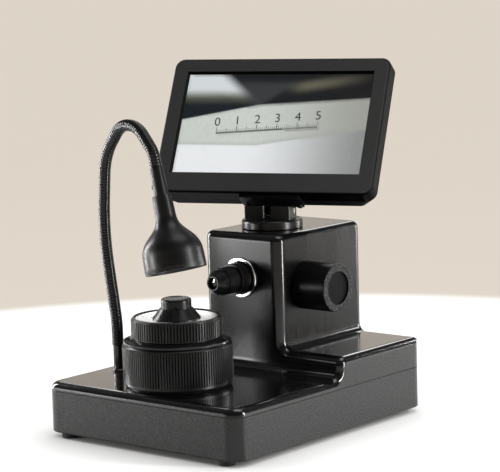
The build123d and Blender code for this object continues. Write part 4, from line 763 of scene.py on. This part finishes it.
# %% The girdle and the facet below it
def girdle_picture(tree, u, t, crown):
    """The ground band and the lower facet, laid over the crown."""
    mottle = noise(tree, vector_maths(tree, "MULTIPLY", place_on(tree), (1.0, 1.0, 0.35)), 420.0, 3.0)
    mottling = times(tree, spread(tree, mottle, 0.35, 0.75), 0.22)
    band = blend(tree, spread(tree, u, 0.35, 1.05), (0.61, 0.64, 0.60, 1.0), (0.33, 0.335, 0.30, 1.0))
    band = blend(tree, mottling, band, (0.40, 0.44, 0.42, 1.0))
    scratches = noise(tree, vector_maths(tree, "MULTIPLY", place_on(tree), (1.0, 1.0, 0.12)), 300.0, 3.0)
    scratched = times(tree, spread(tree, scratches, 0.5, 0.75), 0.12)
    lower = blend(tree, spread(tree, u, 0.30, 1.08), (0.84, 0.86, 0.875, 1.0), (0.24, 0.25, 0.24, 1.0))
    lower = blend(tree, scratched, lower, grey(0.55))
    upper_edge = maths(tree, "MAXIMUM", raised(tree, 0.462, u, -0.3705), raised(tree, 0.357, u, -0.1158))
    lower_edge = maths(tree, "MINIMUM", raised(tree, 0.717, u, 0.0118), raised(tree, 0.845, u, -0.29))
    in_lower = beyond(tree, t, lower_edge, 0.009)
    close_above = spread(tree, maths(tree, "SUBTRACT", lower_edge, t), 0.05, 0.0)
    rim = times(tree, without(tree, in_lower), close_above)
    band = blend(tree, times(tree, rim, 0.35), band, (0.30, 0.35, 0.32, 1.0))
    picture = blend(tree, beyond(tree, t, upper_edge, 0.011), crown, band)
    return blend(tree, in_lower, picture, lower)


print("girdle ready")

# %% [markdown]
# The measuring scale has a base line, a short tick at each of fifty divisions and longer ones at every
# fifth and tenth. A tick stands wherever the distance along the scale, counted in divisions, is close
# to a whole number.

# %% The measuring scale
SCALE_START, SCALE_END = 0.20, 0.74
SCALE_HEIGHT, SCALE_SLOPE = 0.625, -0.125
SCALE_DIVISIONS = 50
TICKS = [(SCALE_DIVISIONS, 0.030, 0.0026), (SCALE_DIVISIONS / 5, 0.045, 0.0038),
         (SCALE_DIVISIONS / 10, 0.060, 0.0050)]


def scale_marks(tree, u, t):
    """A mask of the scale's line and ticks."""
    along = maths(tree, "DIVIDE", maths(tree, "SUBTRACT", u, SCALE_START), SCALE_END - SCALE_START)
    above_line = maths(tree, "SUBTRACT", raised(tree, SCALE_HEIGHT, u, SCALE_SLOPE), t)
    marks = spread(tree, maths(tree, "ABSOLUTE", above_line), 0.012, 0.005)
    for divisions, length, half_width in TICKS:
        place = times(tree, along, divisions)
        off = maths(tree, "ABSOLUTE", maths(tree, "SUBTRACT", place, maths(tree, "ROUND", place)))
        near = spread(tree, off, half_width * divisions * 1.4, half_width * divisions * 0.6)
        marks = maths(tree, "MAXIMUM", marks, times(tree, near, between(tree, above_line, 0.0, length)))
    return times(tree, marks, between(tree, along, -0.002, 1.002))


print("ticks:", SCALE_DIVISIONS + 1)

# %% [markdown]
# A display gives its own light, so the whole picture goes into the emission colour at a strength of 1.
# The panel's own surface is almost black, so light from the room hardly changes the picture.

# %% The display's finish
INK_STRENGTH = 0.85


def display_picture():
    """The panel's material: the crown, the girdle and the scale as its own light."""
    material, tree, shader = start_material("display_panel", (0.01, 0.01, 0.012), 0.3, specular=0.0)
    u, t = display_place(tree)
    picture = girdle_picture(tree, u, t, crown_picture(tree, u, t))
    picture = blend(tree, times(tree, scale_marks(tree, u, t), INK_STRENGTH), picture, grey(0.02))
    lit_area = times(tree, between(tree, u, 0.0, 1.0), between(tree, t, 0.0, 1.0))
    feed(tree, shader["Emission Color"], blend(tree, lit_area, grey(0.002), picture))
    shader["Emission Strength"].default_value = 1.0
    return material


dress(display_picture(), "lcd_panel")

# %% [markdown]
# The scale's numbers are text in Blender's built-in font, turned into flat meshes. They lie just
# in front of the panel, under the glass, and ride with the screen. Drawing digits with nodes would
# take many shapes for each, and a font already has them.

# %% Numbers on the scale
DIGIT_SIZE = 0.0105
DIGIT_LIFT = 0.075
CLEAR_OF_PANEL = 0.00003


def digit_mesh(digit):
    """One digit as a flat mesh, standing on its own origin."""
    letter = bpy.data.curves.new("digit", "FONT")
    letter.body = str(digit)
    letter.size = DIGIT_SIZE
    letter.align_x = "CENTER"
    holder = bpy.data.objects.new("digit", letter)
    scene.collection.objects.link(holder)
    flat = bpy.data.meshes.new_from_object(holder.evaluated_get(bpy.context.evaluated_depsgraph_get()))
    bpy.data.objects.remove(holder)
    return flat


def scale_ink():
    """Dark ink that has faded unevenly."""
    material, tree, shader = start_material("scale_ink", (0.02, 0.02, 0.02), 0.6)
    fading = noise(tree, place_on(tree), 900.0, 2.0)
    feed(tree, shader["Base Color"], blend(tree, fading, grey(0.012), grey(0.03)))
    return material


def scale_numbers():
    """The digits 0 to 5 over every tenth tick, as one mesh."""
    points, faces = [], []
    panel_front = panel_centre + (PANEL_THICKNESS / 2 + CLEAR_OF_PANEL) * screen_normal
    slope = -SCALE_SLOPE * DISPLAY_HEIGHT / DISPLAY_WIDTH
    run = (screen_right + slope * screen_up).normalized()
    rise = screen_normal.cross(run)
    for digit in range(6):
        u = SCALE_START + (SCALE_END - SCALE_START) * digit / 5
        t = SCALE_HEIGHT + SCALE_SLOPE * u - DIGIT_LIFT
        rightwards, upwards = (u - 0.5) * DISPLAY_WIDTH, (0.5 - t) * DISPLAY_HEIGHT
        middle = panel_front + rightwards * screen_right + upwards * screen_up
        flat = digit_mesh(digit)
        first = len(points)
        points += [tuple(middle + vertex.co.x * run + vertex.co.y * rise) for vertex in flat.vertices]
        faces += [tuple(first + index for index in face.vertices) for face in flat.polygons]
    mesh = bpy.data.meshes.new("scale_numbers")
    mesh.from_pydata(points, [], faces)
    mesh.validate()
    return mesh


numbers_mesh = scale_numbers()
numbers_mesh.materials.append(scale_ink())
numbers = bpy.data.objects.new("scale_numbers", numbers_mesh)
scene.collection.objects.link(numbers)
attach(numbers, "screen")
print("scale numbers:", len(numbers_mesh.polygons), "faces")

# %% [markdown]
# ## The gooseneck's line
# A gooseneck is a steel wire wound into a tight spring. The CAD tube only says where the arm runs, so
# its ribbed skin is made here and stands for it. First comes the arm's line: straight runs joined by
# arcs, in the upright plane of the arm. A curve object with a round bevel could follow it, but the ribs
# need to know how far along the line they are, so the points are worked out one after another.

# %% The arm's line
STEM_TOP = 0.0629
CREST_HEIGHT = NECK_END_HEIGHT + 0.0295
LAST_RUN = 0.0113
NECK_CORNERS = [(0.0, STEM_TOP), (0.0, STEM_TOP + 0.017), (-0.013, NECK_END_HEIGHT - 0.0533),
                (-0.0074, NECK_END_HEIGHT + 0.005), (ARM_REACH - 0.0419, CREST_HEIGHT),
                (ARM_REACH - 0.0215, CREST_HEIGHT),
                (ARM_REACH - LAST_RUN * sin(LAMP_LEAN), NECK_END_HEIGHT + LAST_RUN * cos(LAMP_LEAN)),
                (ARM_REACH, NECK_END_HEIGHT)]
BEND_SHARE = 0.45
RING_SPACING = 0.00028


def runs_and_arcs(corners):
    """The line's stretches as (kind, start, direction, length, turning per metre).

    Each arc takes the same share of the shorter run beside it."""
    stretches = []
    start = corners[0]
    for before, corner, after in zip(corners, corners[1:], corners[2:]):
        inward, onward = (corner - before).normalized(), (after - corner).normalized()
        turn = inward.angle_signed(onward)
        reach = BEND_SHARE * min((corner - before).length, (after - corner).length)
        bend = reach / tan(abs(turn) / 2)
        arc_start, arc_length = corner - reach * inward, bend * abs(turn)
        stretches.append(("run", start, inward, (arc_start - start).length, 0.0))
        stretches.append(("arc", arc_start, inward, arc_length, -turn / arc_length))
        start = corner + reach * onward
    stretches.append(("run", start, (corners[-1] - start).normalized(), (corners[-1] - start).length, 0.0))
    return stretches


def point_along(stretches, travelled):
    """The point and direction at a distance from the line's start."""
    for kind, origin, heading, length, turning in stretches:
        if travelled <= length + 1e-9 or stretches[-1][1] == origin:
            break
        travelled -= length
    if kind == "run":
        return origin + travelled * heading, heading
    angle = travelled * turning
    side = Vector((-heading.y, heading.x))
    shift = (sin(angle) * heading + (1 - cos(angle)) * side) / turning
    return origin + shift, cos(angle) * heading + sin(angle) * side


stretches = runs_and_arcs([Vector(corner) for corner in NECK_CORNERS])
neck_length = sum(stretch[3] for stretch in stretches)
step_count = round(neck_length / RING_SPACING)
neck_line = [point_along(stretches, neck_length * i / step_count) for i in range(step_count + 1)]
print("gooseneck", round(1000 * neck_length, 1), "mm long,", len(neck_line), "rings")

# %% [markdown]
# ## The gooseneck's skin
# The outside of the spring is a screw of rounded ribs with sharp grooves between them, and each rib
# catches a small light of its own. One ring of points after another is put round the line, and a
# ring's radius follows the ribs: they are half round, and they climb as the angle goes round, which
# makes them a screw. A bump map would look the same from the front, but not along the outline.

# %% Rings of the ribbed skin
NECK_RADIUS = 0.0046
RIB_PITCH = 0.0022
RIB_DEPTH = 0.00055
RING_POINTS = 28


def rib_height(turns):
    """1 on a rib's crest and 0 in the groove beside it: half-round ribs."""
    place = 2 * (turns % 1.0) - 1
    return sqrt(max(0.0, 1 - place * place))


ring_points = []
for i, (point, heading) in enumerate(neck_line):
    centre = ARM_FOOT + point.x * arm_direction + Vector((0, 0, point.y))
    side = arm_direction * -heading.y + Vector((0, 0, heading.x))
    for k in range(RING_POINTS):
        angle = 2 * pi * k / RING_POINTS
        turns = i * neck_length / step_count / RIB_PITCH + k / RING_POINTS
        reach = NECK_RADIUS - RIB_DEPTH * (1 - rib_height(turns))
        ring_points.append(tuple(centre + reach * (cos(angle) * side + sin(angle) * across_arm)))
skin_faces = []
for low in range(0, step_count * RING_POINTS, RING_POINTS):
    for k in range(RING_POINTS):
        after = (k + 1) % RING_POINTS
        skin_faces.append((low + k, low + after, low + RING_POINTS + after, low + RING_POINTS + k))
skin_faces.append(tuple(reversed(range(RING_POINTS))))
skin_faces.append(tuple(range(step_count * RING_POINTS, len(ring_points))))

neck_mesh = bpy.data.meshes.new("gooseneck_skin")
neck_mesh.from_pydata(ring_points, [], skin_faces)
neck_mesh.validate()
neck_mesh.shade_smooth()
gooseneck_skin = bpy.data.objects.new("gooseneck_skin", neck_mesh)
scene.collection.objects.link(gooseneck_skin)
print("skin faces:", len(neck_mesh.polygons))

# %% [markdown]
# ### Gooseneck finish
# The wire is blackened steel with a film of oil, so it is glossy, and the black has rubbed thin in
# patches where hands bend it. The skin rides with the lamp, and the CAD tube gives way to it.

# %% Gooseneck finish
def gooseneck_steel():
    """Glossy blackened steel, rubbed a little paler in patches."""
    material, tree, shader = start_material("neck_steel", (0.006, 0.006, 0.006), 0.16, specular=0.3)
    smears = use_group(tree, finger_smears, Size_per_metre=60.0)
    rubbed = spread(tree, noise(tree, place_on(tree), 260.0, 4.0), 0.45, 0.8)
    feed(tree, shader["Base Color"], blend(tree, rubbed, grey(0.004), grey(0.014)))
    feed(tree, shader["Roughness"], raised(tree, 0.13, smears["Mask"], 0.12))
    return material


neck_mesh.materials.append(gooseneck_steel())
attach(gooseneck_skin, "lamp")
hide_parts("gooseneck")
print("gooseneck dressed")

# %% [markdown]
# ## Floor and backdrop
# The floor is plain and pale. It is white near the microscope and turns to a warm pale tone further
# off. Part of its brightness is its own and part is light that falls on it, so the microscope's
# shadow still darkens it. What the camera, mirrors and glass see of it is the same floor. Its own
# light also fades in corners, right under the feet, where a real floor is dark.

# %% Floor
FLOOR_HALF = 16.0
TABLE_RADIUS = 0.56
TABLE_FADE = 0.05
NEAR_TONE = (1.0, 0.995, 0.985, 1.0)
FAR_TONE = (0.80, 0.725, 0.635, 1.0)
CORNER_REACH = 0.06
CORNER_CONTRAST = 1.6
OWN_LIGHT, OWN_LIGHT_FAR = 0.6, 0.9
LIT, LIT_FAR = 0.5, 0.04


def pale_floor():
    """White near the middle, warm further off, partly lit by its own light."""
    material, tree, shader = start_material("pale_floor", (0.42, 0.42, 0.42), 0.9, specular=0.0)
    distance = vector_maths(tree, "LENGTH", vector_maths(tree, "MULTIPLY", place_on(tree), (1.0, 1.0, 0.0)))
    far_off = spread(tree, distance, TABLE_RADIUS, TABLE_RADIUS + TABLE_FADE)
    tone = blend(tree, far_off, NEAR_TONE, FAR_TONE)
    path = tree.nodes.new("ShaderNodeLightPath").outputs
    seen = maths(tree, "MAXIMUM", path["Is Camera Ray"],
                 maths(tree, "MAXIMUM", path["Is Glossy Ray"], path["Is Transmission Ray"]))
    corner = tree.nodes.new("ShaderNodeAmbientOcclusion")
    corner.inputs["Distance"].default_value = CORNER_REACH
    own_light = times(tree, raised(tree, OWN_LIGHT, far_off, OWN_LIGHT_FAR - OWN_LIGHT),
                      maths(tree, "POWER", corner.outputs["AO"], CORNER_CONTRAST))
    lit = raised(tree, LIT, far_off, LIT_FAR - LIT)
    feed(tree, shader["Base Color"], blend(tree, lit, grey(0.0), tone))
    feed(tree, shader["Emission Color"], tone)
    feed(tree, shader["Emission Strength"], times(tree, seen, own_light))
    return material


floor_mesh = bpy.data.meshes.new("floor")
floor_corners = [(x * FLOOR_HALF, y * FLOOR_HALF, 0.0) for x, y in ((-1, -1), (1, -1), (1, 1), (-1, 1))]
floor_mesh.from_pydata(floor_corners, [], [(0, 1, 2, 3)])
floor_mesh.materials.append(pale_floor())
floor = bpy.data.objects.new("floor", floor_mesh)
scene.collection.objects.link(floor)
print("floor", round(2 * FLOOR_HALF), "m wide")

# %% [markdown]
# ## The room
# Black plastic shows the room more than itself. The world has the floor's warm tone low down, so the
# glossy deck mirrors a bright backdrop, and it is darker above, so the rest stays black and the glass
# stays clear.

# %% World
scene.world = bpy.data.worlds.new("studio")
scene.world.use_nodes = True
tree = scene.world.node_tree
tree.nodes.clear()
background = tree.nodes.new("ShaderNodeBackground")
world_output = tree.nodes.new("ShaderNodeOutputWorld")
tree.links.new(background.outputs[0], world_output.inputs[0])
height = split(tree, place_on(tree, "Generated"))[2]
walls = blend(tree, spread(tree, height, 0.3, 0.9), grey(0.07), grey(0.22))
background_tone = blend(tree, spread(tree, height, 0.15, 0.3), FAR_TONE, walls)
feed(tree, background.inputs["Color"], background_tone)
background.inputs["Strength"].default_value = 1.0
print("world made")

# %% [markdown]
# ## Lamps
# Black plastic and black metal are drawn by what they mirror, so narrow lamps stand where upright
# edges and round pieces face: two to the right and one to the left, all reaching down to the table.
# A wider one in front to the left lights the flat fronts, one behind lights the tops and the rims,
# and one overhead fills in. The camera doesn't see the lamps themselves.

# %% Lamps
def soft_lamp(name, position, size, watts, target):
    """A rectangular area lamp aimed at a point."""
    lamp = bpy.data.lights.new(name, "AREA")
    lamp.shape = "RECTANGLE"
    lamp.size, lamp.size_y = size
    lamp.energy = watts
    holder = bpy.data.objects.new(name, lamp)
    holder.location = position
    aim_line = Vector(target) - Vector(position)
    holder.rotation_mode = "QUATERNION"
    holder.rotation_quaternion = aim_line.to_track_quat("-Z", "Y")
    holder.visible_camera = False
    scene.collection.objects.link(holder)


LAMPS = [("right_strip", (0.62, 0.12, 0.215), (0.045, 0.42), 5.5, (0, 0, 0.18)),
         ("right_back_strip", (0.30, 0.68, 0.215), (0.06, 0.42), 3.4, (0, 0, 0.18)),
         ("left_strip", (-0.64, -0.12, 0.25), (0.06, 0.5), 5.0, (0, 0, 0.22)),
         ("front_left_lamp", (-0.62, -0.64, 0.11), (0.18, 0.2), 4.5, (0, 0, 0.1)),
         ("back_lamp", (-0.75, 1.0, 0.85), (0.9, 0.5), 5.0, (0, 0, 0.1)),
         ("top_lamp", (0.3, 0.2, 1.5), (0.9, 0.9), 8.0, (0, 0, 0.1))]
for lamp_row in LAMPS:
    soft_lamp(*lamp_row)
print("lamps placed:", len(LAMPS))

# %% [markdown]
# ## View settings
# The Standard view transform keeps a colour on the screen as it was written.

# %% View settings
scene.view_settings.view_transform = "Standard"
